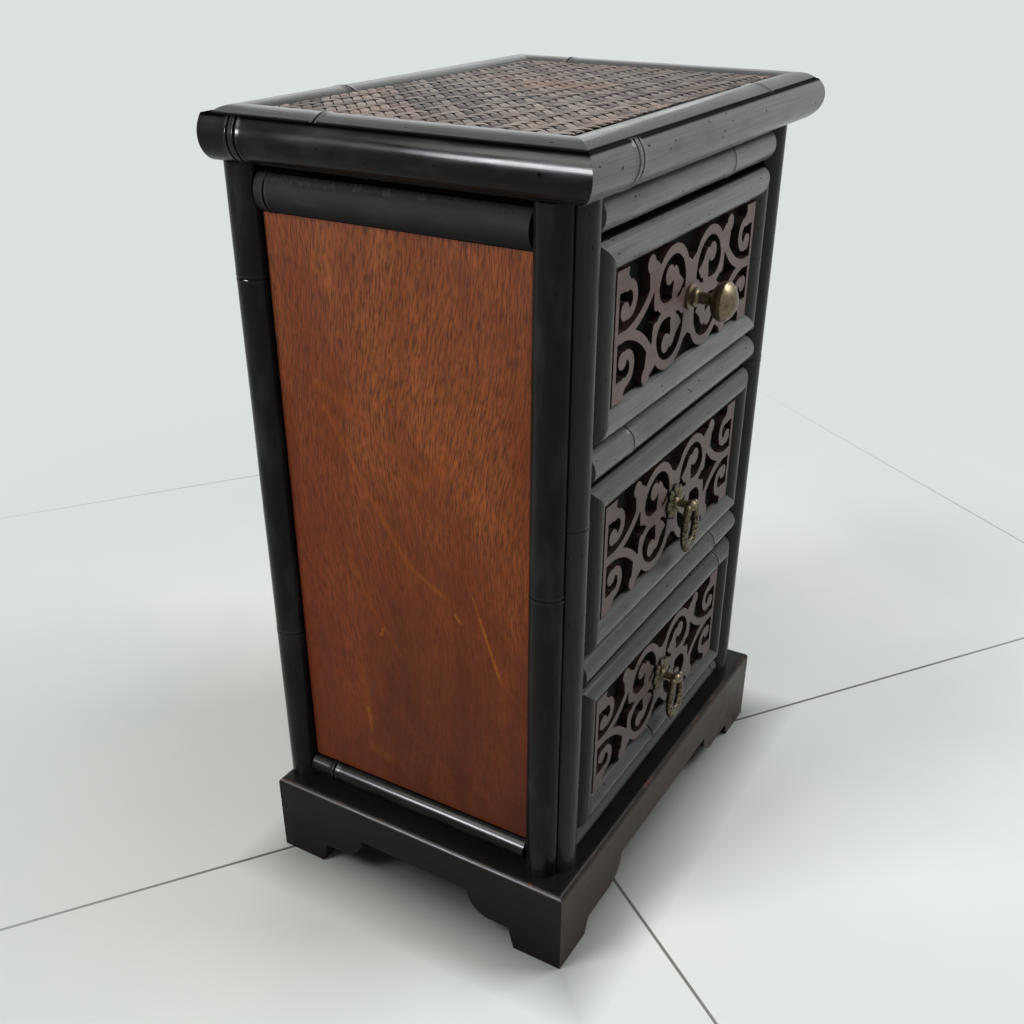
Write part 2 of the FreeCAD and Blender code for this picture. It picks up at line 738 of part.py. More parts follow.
for name, floor, wall_floor in zip(("bottom", "middle", "top"), drawer_floors, wall_floors):
    middle = floor + s.drawer_height / 2
    drawer_middles[name] = middle
    blank = board(f"drawer_{name}_blank", front_width, s.drawer_front_thickness, s.drawer_height,
                  -front_width / 2, front_face, floor)
    drill = rod(f"drawer_{name}_drill", fixing_hole, s.drawer_front_thickness,
                0, front_inside, middle, UPRIGHT)
    subpart(bored(f"drawer_{name}_front", blank, drill))

    panel = doc.addObject("Part::Feature", f"drawer_{name}_grille")
    panel.Shape = grille
    subpart(put(panel, 0, front_face, middle, UPRIGHT))

    frame = []
    inset = s.frame_width / 2
    frame_sides = [
        ("bottom", front_width, 0, floor + inset, 0),
        ("top", front_width, 0, floor + s.drawer_height - inset, 180),
        ("left", s.drawer_height, inset - front_width / 2, middle, 90),
        ("right", s.drawer_height, front_width / 2 - inset, middle, -90),
    ]
    for side, length, x, z, turn in frame_sides:
        rings = frame_rings[name].get(side, [])
        pole = bamboo(f"drawer_{name}_frame_{side}", half_round(s.frame_width, s.frame_rise), length, rings)
        mitre_flat(pole, length, s.frame_width, inset)
        frame.append(put(pole, x, front_face, z, turned(AXIS_Y, turn) * UPRIGHT))
    group(f"drawer_{name}_frame", frame)

    walls = [
        board(f"drawer_{name}_side_{side}", s.drawer_wall, wall_length, s.drawer_wall_height,
              x, front_inside, wall_floor)
        for side, x in (("left", -front_width / 2), ("right", front_width / 2 - s.drawer_wall))]
    walls.append(board(f"drawer_{name}_back", box_inside, s.drawer_wall, s.drawer_wall_height,
                       -box_inside / 2, wall_back - s.drawer_wall, wall_floor))
    group(f"drawer_{name}_walls", walls)
    subpart(board(f"drawer_{name}_bottom", box_inside, wall_length - s.drawer_wall, s.drawer_bottom_thickness,
                  -box_inside / 2, front_inside, wall_floor + s.drawer_bottom_lift))

# Knob of the top drawer: turned in one piece with its stepped rose, held by a screw from inside

head_radius = s.knob_head_diameter / 2
rose_radius = s.knob_rose_diameter / 2
collar_radius = rose_radius - s.knob_rose_step
neck_radius = s.knob_neck_diameter / 2
shoulder_radius = s.knob_shoulder_diameter / 2
bore_radius = s.screw_diameter / 2 + s.fixing_clearance
rim_front = s.knob_length - s.knob_head_dome
rim_back = rim_front - s.knob_head_rim
shoulder = rim_back - s.knob_head_back
dome_radius = (head_radius * head_radius + s.knob_head_dome * s.knob_head_dome) / (2 * s.knob_head_dome)
knob = new_body("knob")
profile = sketch_on(knob, "XY_Plane")
outline(profile, [
    (bore_radius, 0),
    (rose_radius, 0),
    (rose_radius, s.knob_rose_rim),
    (collar_radius, s.knob_rose_rim + s.knob_rose_step / 2),
    (collar_radius, s.knob_rose_height),
    (neck_radius, s.knob_rose_height + s.knob_cove),
    (neck_radius, shoulder - s.knob_shoulder),
    (shoulder_radius, shoulder),
    (head_radius, rim_back),
    (head_radius, rim_front),
    (0, s.knob_length),
    (0, s.screw_depth),
    (bore_radius, s.screw_depth),
], {4: (s.knob_cove, -1), 7: (s.knob_head_curve, 1), 9: (dome_radius, 1)})
revolve(knob, profile)
subpart(put(knob, 0, grille_face, drawer_middles["top"], AWAY))

screw_length = s.drawer_front_thickness + s.grille_thickness + s.screw_depth
screw = doc.addObject("Part::Fuse", "knob_screw")
knob_height = drawer_middles["top"]
screw.Base = rod("screw_shank", s.screw_diameter / 2, screw_length, 0, front_inside, knob_height, UPRIGHT)
screw.Tool = rod("screw_head", s.screw_head_diameter / 2, s.screw_head_height,
                 0, front_inside + s.screw_head_height, knob_height, UPRIGHT)
subpart(screw)

# Swinging pulls: a rosette plate, a stud with an eye and a nut, and a loop that hangs from the eye

ball_radius = s.stud_ball_diameter / 2
stud_radius = s.stud_diameter / 2
shank_radius = s.stud_shank_diameter / 2
collar_top = s.plate_thickness + s.plate_boss_height + s.stud_collar_height
shank_length = s.grille_thickness + s.drawer_front_thickness + s.nut_height + s.stud_shank_end
ear_inside = ball_radius + s.loop_ear_gap
ear_outside = ear_inside + s.loop_ear_width


def pull_plate(label, z):
    """A round plate with a ring of petals, a raised boss and a hole for the stud's shank."""
    body = new_body(label)
    disc = sketch_on(body, "XY_Plane")
    round_outline(disc, 0, 0, s.plate_radius)
    pad(body, disc, s.plate_thickness, False)
    leaf = sketch_on(body, "XY_Plane")
    round_outline(leaf, s.petal_reach, 0, s.petal_radius)
    petal = pad(body, leaf, s.plate_thickness, False)
    petals = body.newObject("PartDesign::PolarPattern", f"{label}_petals")
    petals.Originals = [petal]
    petals.Axis = (leaf, ["N_Axis"])
    petals.Angle = 360
    petals.Occurrences = PETALS
    body.Tip = petals
    boss = sketch_on(body, "XY_Plane")
    round_outline(boss, 0, 0, s.plate_boss_radius)
    pad(body, boss, s.plate_thickness + s.plate_boss_height, False)
    hole = sketch_on(body, "XY_Plane")
    round_outline(hole, 0, 0, shank_radius + s.fixing_clearance)
    pocket(body, hole)
    subpart(put(body, 0, grille_face, z, UPRIGHT))


def pull_stud(label, z):
    """A turned stud with a collar and a ball end, pierced by the eye, and the nut on its shank."""
    body = new_body(f"{label}_turning")
    profile = sketch_on(body, "XY_Plane")
    plate_top = s.plate_thickness + s.plate_boss_height
    neck = s.pivot_reach - root(ball_radius * ball_radius - stud_radius * stud_radius)
    outline(profile, [
        (0, -shank_length),
        (shank_radius, -shank_length),
        (shank_radius, plate_top),
        (s.stud_collar_diameter / 2, plate_top),
        (stud_radius, collar_top),
        (stud_radius, neck),
        (0, s.pivot_reach + ball_radius),
    ], {5: (ball_radius, 1)})
    revolve(body, profile)
    eye = sketch_on(body, "YZ_Plane")
    round_outline(eye, s.pivot_reach, 0, s.loop_bar_diameter / 2 + s.loop_bar_clearance)
    pocket(body, eye)
    put(body, 0, grille_face, z, AWAY)
    hexagon = doc.addObject("Part::Prism", f"{label}_hexagon")
    hexagon.Polygon = 6
    bind(hexagon, "Circumradius", s.nut_radius)
    bind(hexagon, "Height", s.nut_height)
    put(hexagon, 0, front_inside + s.nut_height, z, UPRIGHT)
    drill = rod(f"{label}_nut_drill", shank_radius + s.fixing_clearance, s.nut_height,
                0, front_inside + s.nut_height, z, UPRIGHT)
    group(label, [body, bored(f"{label}_nut", hexagon, drill)])


def pull_loop(label, z):
    """A teardrop loop, open between its ears, with the bar that turns in the stud's eye."""
    body = new_body(label)
    shape = sketch_on(body, "XZ_Plane")
    rise = s.loop_ear_rise
    crotch = s.loop_leg - s.loop_length
    outline(shape, [
        (0, -s.loop_length),
        (ear_outside, rise),
        (ear_inside, rise),
        (ear_inside, -s.loop_eye_drop),
        (0, crotch),
        (-ear_inside, -s.loop_eye_drop),
        (-ear_inside, rise),
        (-ear_outside, rise),
    ], {
        0: (s.loop_outer_radius, 1),
        3: (s.loop_inner_radius, -1),
        4: (s.loop_inner_radius, -1),
        7: (s.loop_outer_radius, 1),
    })
    pad(body, shape, s.loop_thickness)
    bar = sketch_on(body, "YZ_Plane")
    round_outline(bar, 0, 0, s.loop_bar_diameter / 2)
    pad(body, bar, 2 * ear_outside)
    subpart(put(body, 0, grille_face - s.pivot_reach, z))


for name in ("middle", "bottom"):
    height = drawer_middles[name]
    pull_plate(f"pull_plate_{name}", height)
    pull_stud(f"pull_stud_{name}", height)
    pull_loop(f"pull_loop_{name}", height)

# Check every object, then write each piece

doc.recompute()
failed = [thing.Label for thing in doc.Objects if "Invalid" in thing.State or "Error" in thing.State]
if failed:
    raise RuntimeError(f"objects that failed: {failed}")
os.makedirs("parts", exist_ok=True)
for thing in subparts:
    if thing.Shape.isNull() or not thing.Shape.isValid():
        raise RuntimeError(f"{thing.Label} has no valid shape")
for thing in subparts:
    thing.Shape.exportStep(f"parts/{thing.Label}.step")
print(len(subparts), "pieces written")
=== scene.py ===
import math
import random

import bmesh
import bpy
from mathutils import Matrix, Vector, noise


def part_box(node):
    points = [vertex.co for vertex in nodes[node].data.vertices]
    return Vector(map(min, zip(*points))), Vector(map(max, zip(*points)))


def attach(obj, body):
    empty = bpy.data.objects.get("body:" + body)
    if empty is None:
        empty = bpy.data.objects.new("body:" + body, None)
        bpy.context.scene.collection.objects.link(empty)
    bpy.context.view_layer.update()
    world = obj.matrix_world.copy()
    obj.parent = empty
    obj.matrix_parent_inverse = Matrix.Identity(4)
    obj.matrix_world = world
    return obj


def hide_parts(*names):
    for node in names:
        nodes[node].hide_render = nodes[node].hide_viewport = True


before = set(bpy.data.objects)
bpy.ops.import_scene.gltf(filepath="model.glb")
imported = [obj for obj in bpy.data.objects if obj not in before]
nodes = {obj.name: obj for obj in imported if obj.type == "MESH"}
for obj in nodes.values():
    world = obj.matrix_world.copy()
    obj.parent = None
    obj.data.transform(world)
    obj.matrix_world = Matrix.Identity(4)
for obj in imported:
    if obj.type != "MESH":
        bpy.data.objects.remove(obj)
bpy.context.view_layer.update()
MM = 0.001


# Studio: a floor of pale stone tiles in a white room under a ceiling lamp. A window at the left is
# mirrored in the bamboo, and another stands high at the right of the front.


def linear(colour):
    """A colour written as six hex digits, in linear light."""
    channels = [int(colour[start:start + 2], 16) / 255 for start in (0, 2, 4)]
    return [c / 12.92 if c <= 0.04045 else ((c + 0.055) / 1.055) ** 2.4 for c in channels] + [1.0]


def feed(tree, node, inputs):
    """Fills a node's inputs, by name or in order, with values, hex colours, nodes or nodes' outputs."""
    if not isinstance(inputs, dict):
        in_use = [index for index, socket in enumerate(node.inputs) if socket.enabled]
        inputs = dict(zip(in_use, inputs))
    for key, value in inputs.items():
        socket = node.inputs[key]
        if isinstance(value, bpy.types.Node):
            value = next(output for output in value.outputs if output.enabled)
        if isinstance(value, bpy.types.NodeSocket):
            tree.links.new(value, socket)
        else:
            socket.default_value = linear(value) if socket.type == "RGBA" else value


def add(tree, kind, inputs=(), **settings):
    """A new node with its settings and inputs. A shader's node goes by the short name of its kind."""
    node = tree.nodes.new(kind if "Node" in kind else f"ShaderNode{kind}")
    for key, value in settings.items():
        setattr(node, key, value)
    feed(tree, node, inputs)
    return node


def pattern(tree, place, sizes, kind="TexNoise", **inputs):
    """A texture over a place, whose spots have a size in millimetres for each direction."""
    scale = [1 / (size * MM) for size in sizes]
    sized = add(tree, "Mapping", {"Vector": place, "Scale": scale})
    return add(tree, kind, {"Vector": sized, "Scale": 1.0, **inputs})


def seen_rays(tree):
    """1 on rays that show a thing to the eye, straight or mirrored, and 0 on those that only light."""
    rays = add(tree, "LightPath").outputs
    seen = rays["Is Camera Ray"]
    for kind in ("Is Glossy Ray", "Is Transmission Ray"):
        seen = add(tree, "Math", (seen, rays[kind]), operation="MAXIMUM")
    return seen


def new_material(name):
    """A new material, its node tree and its shader."""
    material = bpy.data.materials.new(name)
    material.use_nodes = True
    return material, material.node_tree, material.node_tree.nodes["Principled BSDF"]


def area_lamp(name, place, target, size, power, colour):
    """A soft rectangular lamp that faces a target."""
    data = bpy.data.lights.new(name, "AREA")
    data.shape = "RECTANGLE"
    data.size, data.size_y = size
    data.energy = power
    data.color = linear(colour)[:3]
    lamp = bpy.data.objects.new(name, data)
    lamp.location = place
    lamp.rotation_euler = (Vector(target) - Vector(place)).to_track_quat("-Z", "Y").to_euler()
    bpy.context.scene.collection.objects.link(lamp)
    return lamp


scene = bpy.context.scene
scene.view_settings.view_transform = "Standard"
world = bpy.data.worlds.new("white_room")
scene.world = world
world.use_nodes = True
tree = world.node_tree
brightness = add(tree, "MapRange", (seen_rays(tree), 0.0, 1.0, 0.32, 0.85))
feed(tree, tree.nodes["Background"], {"Color": "edf2f2", "Strength": brightness})
window = area_lamp("left_window", (-2.7, 1.15, 1.32), (-0.2, 0, 0.55), (0.8, 0.5), 235, "fbf9ff")
window.visible_diffuse = False
area_lamp("ceiling_lamp", (-1.75, 0.9, 2.2), (0, 0, 0.4), (0.9, 0.9), 50, "fffdf8")
area_lamp("front_window", (1.0, -1.25, 1.85), (0, 0, 0.5), (1.2, 0.9), 40, "f9f9fc")
area_lamp("bright_wall", (2.1, 1.5, 1.7), (0, 0, 0.5), (1.8, 1.4), 9, "f8fafc")

camera_place = (-0.77129, -0.42421, 0.72945)
camera_data = bpy.data.cameras.new("camera")
camera_data.sensor_width = 36
camera_data.lens = 40.51
camera_data.shift_y = 0.0572
camera = bpy.data.objects.new("camera", camera_data)
azimuth, elevation, roll = (math.radians(angle) for angle in (-59.34, 29.56, 0.2))
level = math.cos(elevation)
backward = Vector((math.sin(azimuth) * level, -math.cos(azimuth) * level, math.sin(elevation)))
rightward = Vector((math.cos(azimuth), math.sin(azimuth), 0))
turn = Matrix((rightward, backward.cross(rightward), backward)).transposed().to_4x4()
turn = turn @ Matrix.Rotation(roll, 4, "Z")
camera.matrix_world = Matrix.Translation(camera_place) @ turn
scene.collection.objects.link(camera)
scene.camera = camera

floor_reach = 40.0
floor_mesh = bpy.data.meshes.new("floor")
corners = [(x * floor_reach, y * floor_reach, 0) for x, y in ((-1, -1), (1, -1), (1, 1), (-1, 1))]
floor_mesh.from_pydata(corners, [], [(0, 1, 2, 3)])
floor = bpy.data.objects.new("floor", floor_mesh)
scene.collection.objects.link(floor)

# Honed stone tiles: an even pale ground with faint clouds, matt, crossed by thin grey joints.
stone, tree, shader = new_material("honed_stone")
coords = add(tree, "TexCoord").outputs["Object"]
haze = pattern(tree, coords, (385, 385, 1000), Detail=4.0)
tile_size, tile_joint, tile_turn = 800 * MM, 1.6 * MM, (0, 0, 0.62)
tile_frame = add(tree, "Mapping", {"Vector": coords, "Rotation": tile_turn})
joints = add(tree, "TexBrick", {
    "Vector": tile_frame, "Scale": 1.0, "Brick Width": tile_size, "Row Height": tile_size,
    "Mortar Size": tile_joint, "Mortar Smooth": 0.3}, offset=0.0).outputs["Fac"]
clouds = add(tree, "MapRange", (haze, 0.35, 0.7))
ground = add(tree, "Mix", (clouds, "d3d8d6", "dfe1dd"), data_type="RGBA")
tiled = add(tree, "Mix", (joints, ground, "74756f"), data_type="RGBA")
# Painted shade, with some dust, darkens the floor under the chest and fades out past its foot,
# alike on all sides.
foot_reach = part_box("plinth_left")[0]
half_base = (abs(foot_reach.x), abs(foot_reach.y), 0)
folded = add(tree, "VectorMath", (coords,), operation="ABSOLUTE")
past = add(tree, "VectorMath", (folded, half_base), operation="SUBTRACT")
past = add(tree, "SeparateXYZ", (past,)).outputs
outside = add(tree, "Math", (past["X"], past["Y"]), operation="MAXIMUM")
# The painted shade's share: none 50 mm past the foot, 0.85 from 20 mm under it.
dusty = add(tree, "MapRange", (outside, 50 * MM, -20 * MM, 0.0, 0.85))
shaded = add(tree, "Mix", (dusty, tiled, "1e201f"), data_type="RGBA")
feed(tree, shader, {"Base Color": shaded, "Roughness": 0.6, "Specular IOR Level": 0.0})
# Far from the chest the floor passes into the pale wall, for the eye alone, so that it lights nothing.
room_middle = (0.15, 0.05, 0)
away = add(tree, "VectorMath", (coords, room_middle), operation="DISTANCE")
far = add(tree, "MapRange", (away, 0.4, 1.0))
far_seen = add(tree, "Math", (far, seen_rays(tree)), operation="MULTIPLY")
pale_wall = add(tree, "Emission", {"Color": "dbe1e0", "Strength": 1.0})
surface = add(tree, "MixShader", (far_seen, shader, pale_wall))
feed(tree, tree.nodes["Material Output"], {"Surface": surface})
floor_mesh.materials.append(stone)


# Plinth: four boards of common wood with bracket feet, mitred and glued round corner blocks, with
# the base board let in. Brushed black and rubbed to red-brown wood on the sharp edges.


def dress(material, *node_names):
    """Gives CAD nodes' objects their material."""
    for node_name in node_names:
        mesh = nodes[node_name].data
        mesh.materials.clear()
        mesh.materials.append(material)


# Brushed black paint on common wood: nearly black, with a low gloss and fine brush lines, painted lighter
# brown on the front for the light that falls there and the paint's fading, and brown where an edge has
# lost its paint.
black_wood, tree, shader = new_material("ebonised_board")
coords = add(tree, "TexCoord").outputs["Object"]
outward = add(tree, "TexCoord").outputs["Normal"]
brush = pattern(tree, coords, (40, 40, 6.25), Detail=5.0)
patch = pattern(tree, coords, (25, 25, 25), Detail=6.0, Roughness=0.7)
base = add(tree, "Mix", (brush, "0b0a09", "1b1816"), data_type="RGBA")
height = add(tree, "SeparateXYZ", (coords,)).outputs["Z"]
plinth_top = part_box("plinth_front")[1].z
low_edge = add(tree, "MapRange", (height, 6 * MM, 0.0, 0.0, 0.22))
upper = add(tree, "MapRange", (height, plinth_top - 2.8 * MM, plinth_top - 1.2 * MM, 0.0, 0.24))
under_top = add(tree, "MapRange", (height, plinth_top - 0.05 * MM, plinth_top - 0.3 * MM))
high_edge = add(tree, "Math", (upper, under_top), operation="MULTIPLY")
edge = add(tree, "Math", (low_edge, high_edge), operation="ADD")
rub = add(tree, "Math", (edge, patch), operation="ADD")
facing_back = add(tree, "SeparateXYZ", (outward,)).outputs["Y"]
# The faces towards the front are painted lighter brown: painted light, with some fading.
facing_front = add(tree, "MapRange", (facing_back, -0.6, -0.95))
front_colour = add(tree, "Mix", (patch, "251e19", "3b2f27"), data_type="RGBA")
front_lit_and_faded = add(tree, "Mix", (facing_front, base, front_colour), data_type="RGBA")
bare = add(tree, "MapRange", (rub, 0.76, 0.9, 0.0, 0.8))
feed(tree, shader, {
    "Base Color": add(tree, "Mix", (bare, front_lit_and_faded, "5d3823"), data_type="RGBA"),
    "Roughness": add(tree, "MapRange", (patch, 0.3, 0.7, 0.25, 0.42)),
    "Specular IOR Level": 0.1,
    "Normal": add(tree, "Bump", {"Height": brush, "Strength": 0.15, "Distance": 1.0 * MM}),
})

for side in ("front", "back", "left", "right"):
    dress(black_wood, f"plinth_{side}")
    ease = nodes[f"plinth_{side}"].modifiers.new("eased_edges", "BEVEL")
    ease.width = 1.2 * MM
    ease.segments = 2
    ease.angle_limit = math.radians(40)
dress(black_wood, "base_board", "top_edge_back")

# Planed softwood, left bare: pale and matt, with long streaks of grain.
softwood, tree, shader = new_material("planed_softwood")
coords = add(tree, "TexCoord").outputs["Object"]
outward = add(tree, "TexCoord").outputs["Normal"]
lengthwise = pattern(tree, coords, (5, 170, 3.5), Detail=5.0, Roughness=0.6, Distortion=0.3)
crosswise = pattern(tree, coords, (170, 5, 3.5), Detail=5.0, Roughness=0.6, Distortion=0.3)
facing_back = add(tree, "SeparateXYZ", (outward,)).outputs["Y"]
across = add(tree, "Math", (facing_back,), operation="ABSOLUTE")
grain = add(tree, "Mix", (add(tree, "MapRange", (across, 0.5, 0.6)), lengthwise, crosswise))
late_wood = add(tree, "MapRange", (grain, 0.3, 0.7))
feed(tree, shader, {
    "Base Color": add(tree, "Mix", (late_wood, "94693c", "c49a68"), data_type="RGBA"),
    "Roughness": 0.7,
    "Normal": add(tree, "Bump", {"Height": grain, "Strength": 0.2, "Distance": 0.5 * MM}),
})
dress(softwood, "plinth_blocks", "drawer_runners", "drawer_guides")


# Carcass: side panels and back of red-brown varnished plywood, whose upright grain is full of fine
# pores and crossed by pale bands, between stiles and cross members that are painted dark.

# Varnished plywood: a low gloss over warm veneer whose grain sways and is dotted with dark pores. The
# pores, about 0.3 mm wide, are drawn at 1.2 mm, as fine as the render can show.
panel_ply, tree, shader = new_material("varnished_plywood")
coords = add(tree, "TexCoord").outputs["Object"]
tilted = add(tree, "Mapping", {"Vector": coords, "Rotation": (0.7, 0, 0)})
bands = pattern(tree, tilted, (250, 62, 200), Detail=6.0, Roughness=0.55, Distortion=1.1)
broad = pattern(tree, coords, (333, 45, 200), Detail=3.0)
sway = pattern(tree, coords, (1000, 150, 260), Detail=0.0)
lean = add(tree, "CombineXYZ", {"Y": add(tree, "MapRange", (sway, 0.2, 0.8, -20 * MM, 20 * MM))})
grown = add(tree, "VectorMath", (coords, lean), operation="ADD")
pores = pattern(tree, grown, (1.2, 1.2, 10), Detail=2.0, Roughness=0.6)
streaks = pattern(tree, grown, (3.2, 3.2, 60), Detail=4.0, Roughness=0.6)
ripple = pattern(tree, coords, (33, 11, 2), Detail=3.0, Roughness=0.6)
place = add(tree, "SeparateXYZ", (coords,)).outputs
height = add(tree, "MapRange", (place["Z"], 90 * MM, 500 * MM))
tall = add(tree, "Math", (height, 0.3), operation="MULTIPLY")
wide = add(tree, "Math", (broad, 0.45, tall), operation="MULTIPLY_ADD")
figure = add(tree, "Math", (bands, 0.42, wide), operation="MULTIPLY_ADD")
veneer = add(tree, "ValToRGB", (figure,))
ramp = veneer.color_ramp.elements
ramp[0].position, ramp[0].color = 0.36, linear("4b200c")
ramp[1].position, ramp[1].color = 0.86, linear("98521b")
for position, colour in ((0.52, "662e11"), (0.67, "7c3d14")):
    ramp.new(position).color = linear(colour)
towards_back = add(tree, "MapRange", (place["Y"], 20 * MM, 120 * MM, 0.0, 0.35))
reddened = add(tree, "Mix", (towards_back, veneer, "6a2812"), data_type="RGBA")
streak_share = add(tree, "MapRange", (streaks, 0.42, 0.66, 0.0, 0.36))
streaked = add(tree, "Mix", (streak_share, reddened, "461d0d"), data_type="RGBA")
ripple_share = add(tree, "MapRange", (ripple, 0.55, 0.8, 0.0, 0.14))
rippled = add(tree, "Mix", (ripple_share, streaked, "8f5322"), data_type="RGBA")
open_grain = add(tree, "MapRange", (figure, 0.45, 0.72, 0.4, 0.8))
pore_spots = add(tree, "MapRange", (pores, 0.42, 0.66))
pore_share = add(tree, "Math", (pore_spots, open_grain), operation="MULTIPLY")
pored = add(tree, "Mix", (pore_share, rippled, "35160a"), data_type="RGBA")
# The panel above the top rail is painted black and without gloss: painted shade under the top's edge.
rail_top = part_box("side_rail_top_left")[1].z
shade_above_rail = add(tree, "MapRange", (place["Z"], rail_top - MM, rail_top))
# The plain gloss comes first, for a viewer that reads no patterns.
gloss = 0.1
feed(tree, shader, {"Specular IOR Level": gloss})
feed(tree, shader, {
    "Base Color": add(tree, "Mix", (shade_above_rail, pored, "0b0a09"), data_type="RGBA"),
    "Roughness": add(tree, "MapRange", (broad, 0.3, 0.7, 0.36, 0.5)),
    "Specular IOR Level": add(tree, "MapRange", (place["Z"], rail_top - MM, rail_top, gloss, 0.0)),
    "Normal": add(tree, "Bump", {"Height": pores, "Strength": 0.1, "Distance": 0.4 * MM}),
})
dress(panel_ply, "side_panel_left", "side_panel_right", "back_panel")


def mark(material, lines, width, colour, share):
    """Marks a material with a dull colour along lines between places, in millimetres."""
    tree = material.node_tree
    shader = tree.nodes["Principled BSDF"]
    coords = add(tree, "TexCoord").outputs["Object"]
    nearest = 1.0
    for start, end in lines:
        start, run = Vector(start) * MM, (Vector(end) - Vector(start)) * MM
        offset = add(tree, "VectorMath", (coords, start), operation="SUBTRACT")
        ahead = add(tree, "VectorMath", (offset, run), operation="DOT_PRODUCT")
        reach = add(tree, "MapRange", (ahead, 0.0, run.length_squared))
        foot = add(tree, "VectorMath", (run, reach), operation="SCALE")
        away = add(tree, "VectorMath", (offset, foot), operation="DISTANCE")
        nearest = add(tree, "Math", (away, nearest), operation="MINIMUM")
    ragged = pattern(tree, coords, (2, 2, 5.6), Detail=4.0, Roughness=0.65)
    fray = 0.7 * width * MM
    frayed = add(tree, "MapRange", (ragged, 0.2, 0.8, -fray, fray))
    edge = add(tree, "Math", (nearest, frayed), operation="ADD")
    mask = add(tree, "MapRange", (edge, width * MM, 0.1 * width * MM, 0.0, share))
    spared = add(tree, "MapRange", (mask, 0.0, 1.0, 1.0, 0.0))
    plain = shader.inputs["Base Color"].links[0].from_socket
    shine = shader.inputs["Specular IOR Level"].links[0].from_socket
    feed(tree, shader, {
        "Base Color": add(tree, "Mix", (mask, plain, colour), data_type="RGBA"),
        "Specular IOR Level": add(tree, "Math", (shine, spared), operation="MULTIPLY"),
    })


panel_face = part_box("side_panel_left")[0].x / MM
# Growth bands, a knot and scratches on the left panel: lines from one depth and height to another,
# their width, their colour and its share.
panel_marks = [
    ([(86, 426, 52, 367), (52, 367, 17, 314), (17, 314, -13, 297)], 3.0, "8c4b1f", 0.4),
    ([(92, 444, 59, 426), (59, 426, 31, 404), (31, 404, 3, 382), (3, 382, -19, 410)], 6.0, "8a4a1d", 0.3),
    ([(75, 315, 55, 269), (55, 269, 29, 231)], 3.0, "7c421c", 0.35),
    ([(89, 464, 88, 461)], 2.2, "33150a", 0.7),
    ([(-38, 304, -44, 287), (44, 251, 48, 244), (46, 244, 46, 250)], 1.0, "8f5626", 0.6),
    ([(-44, 287, -60, 242), (-22, 285, -27, 279)], 1.7, "94592a", 0.7),
    ([(-60, 242, -73, 228)], 1.0, "7d4620", 0.35),
    ([(68, 207, 64, 155), (63, 128, 46, 124)], 7.0, "7a451e", 0.4),
    ([(65, 168, 63, 146)], 1.8, "8f5829", 0.5),
]
for lines, width, colour, share in panel_marks:
    ends = [((panel_face, a, b), (panel_face, c, d)) for a, b, c, d in lines]
    mark(panel_ply, ends, width, colour, share)

# Matt black paint on plywood: it swallows the light, so that the grilles stand out from it.
dark_paint, tree, shader = new_material("black_painted_plywood")
coords = add(tree, "TexCoord").outputs["Object"]
grain = pattern(tree, coords, (33, 8.3, 4.5), Detail=5.0)
feed(tree, shader, {
    "Base Color": add(tree, "Mix", (grain, "040404", "0d0d0b"), data_type="RGBA"),
    "Roughness": 0.65,
    "Specular IOR Level": 0.04,
    "Normal": add(tree, "Bump", {"Height": grain, "Strength": 0.2, "Distance": 0.4 * MM}),
})
dress(dark_paint, "front_stiles", "cross_members", "top_battens", "top_board")


# Split-bamboo posts: poles sawn in half along their length, ebonised and pinned to the carcass.
# Two meet at an open seam on each front corner, and one covers each rear corner.

# What each point of a pole's skin carries: its place along and around the pole, the pole's own tone,
# the joint's groove (below 0) or ring (above 0) with painted shade along its seams (below 0), and how
# far it is rubbed grey, a grey that also paints sheen, or dulled.
SKIN_MARKS = ("along", "around", "tone", "ridge_and_seam_shade", "wear_and_sheen")

# Ebonised bamboo: a hard smooth skin that mirrors the lamps in long lines, rubbed grey where hands and
# cloths reach it, a grey that also paints the sheen of light on the front and top, and pitted here
# and there. Its fibres, 0.3 mm wide, are drawn at 1.4 mm to show.
bamboo, tree, shader = new_material("ebonised_bamboo")
marks = {key: add(tree, "Attribute", attribute_name=key).outputs["Fac"] for key in SKIN_MARKS}
skin = add(tree, "CombineXYZ", (marks["along"], marks["around"], marks["tone"]))
streaks = pattern(tree, skin, (71, 1.4, 25), Detail=5.0, Roughness=0.6)
blotches = pattern(tree, skin, (45, 17, 20), Detail=4.0)
pits = pattern(tree, skin, (17, 7.7, 111), "TexVoronoi")
pit_mask = add(tree, "MapRange", (pits, 0.12, 0.06, 0.0, 0.95))
fresh = add(tree, "Mix", (streaks, "080808", "151513"), data_type="RGBA")
grey = add(tree, "Mix", (streaks, "525251", "7d7d7d"), data_type="RGBA")
base = add(tree, "Mix", (marks["wear_and_sheen"], fresh, grey), data_type="RGBA")
dust = add(tree, "MapRange", (blotches, 0.5, 0.78, 0.0, 0.4))
dusty = add(tree, "Mix", (dust, base, "373634"), data_type="RGBA")
pitted = add(tree, "Mix", (pit_mask, dusty, "050505"), data_type="RGBA")
ring = add(tree, "MapRange", (marks["ridge_and_seam_shade"], 0.15, 0.9, 0.0, 0.15))
rubbed = add(tree, "Mix", (ring, pitted, "5b564e"), data_type="RGBA")
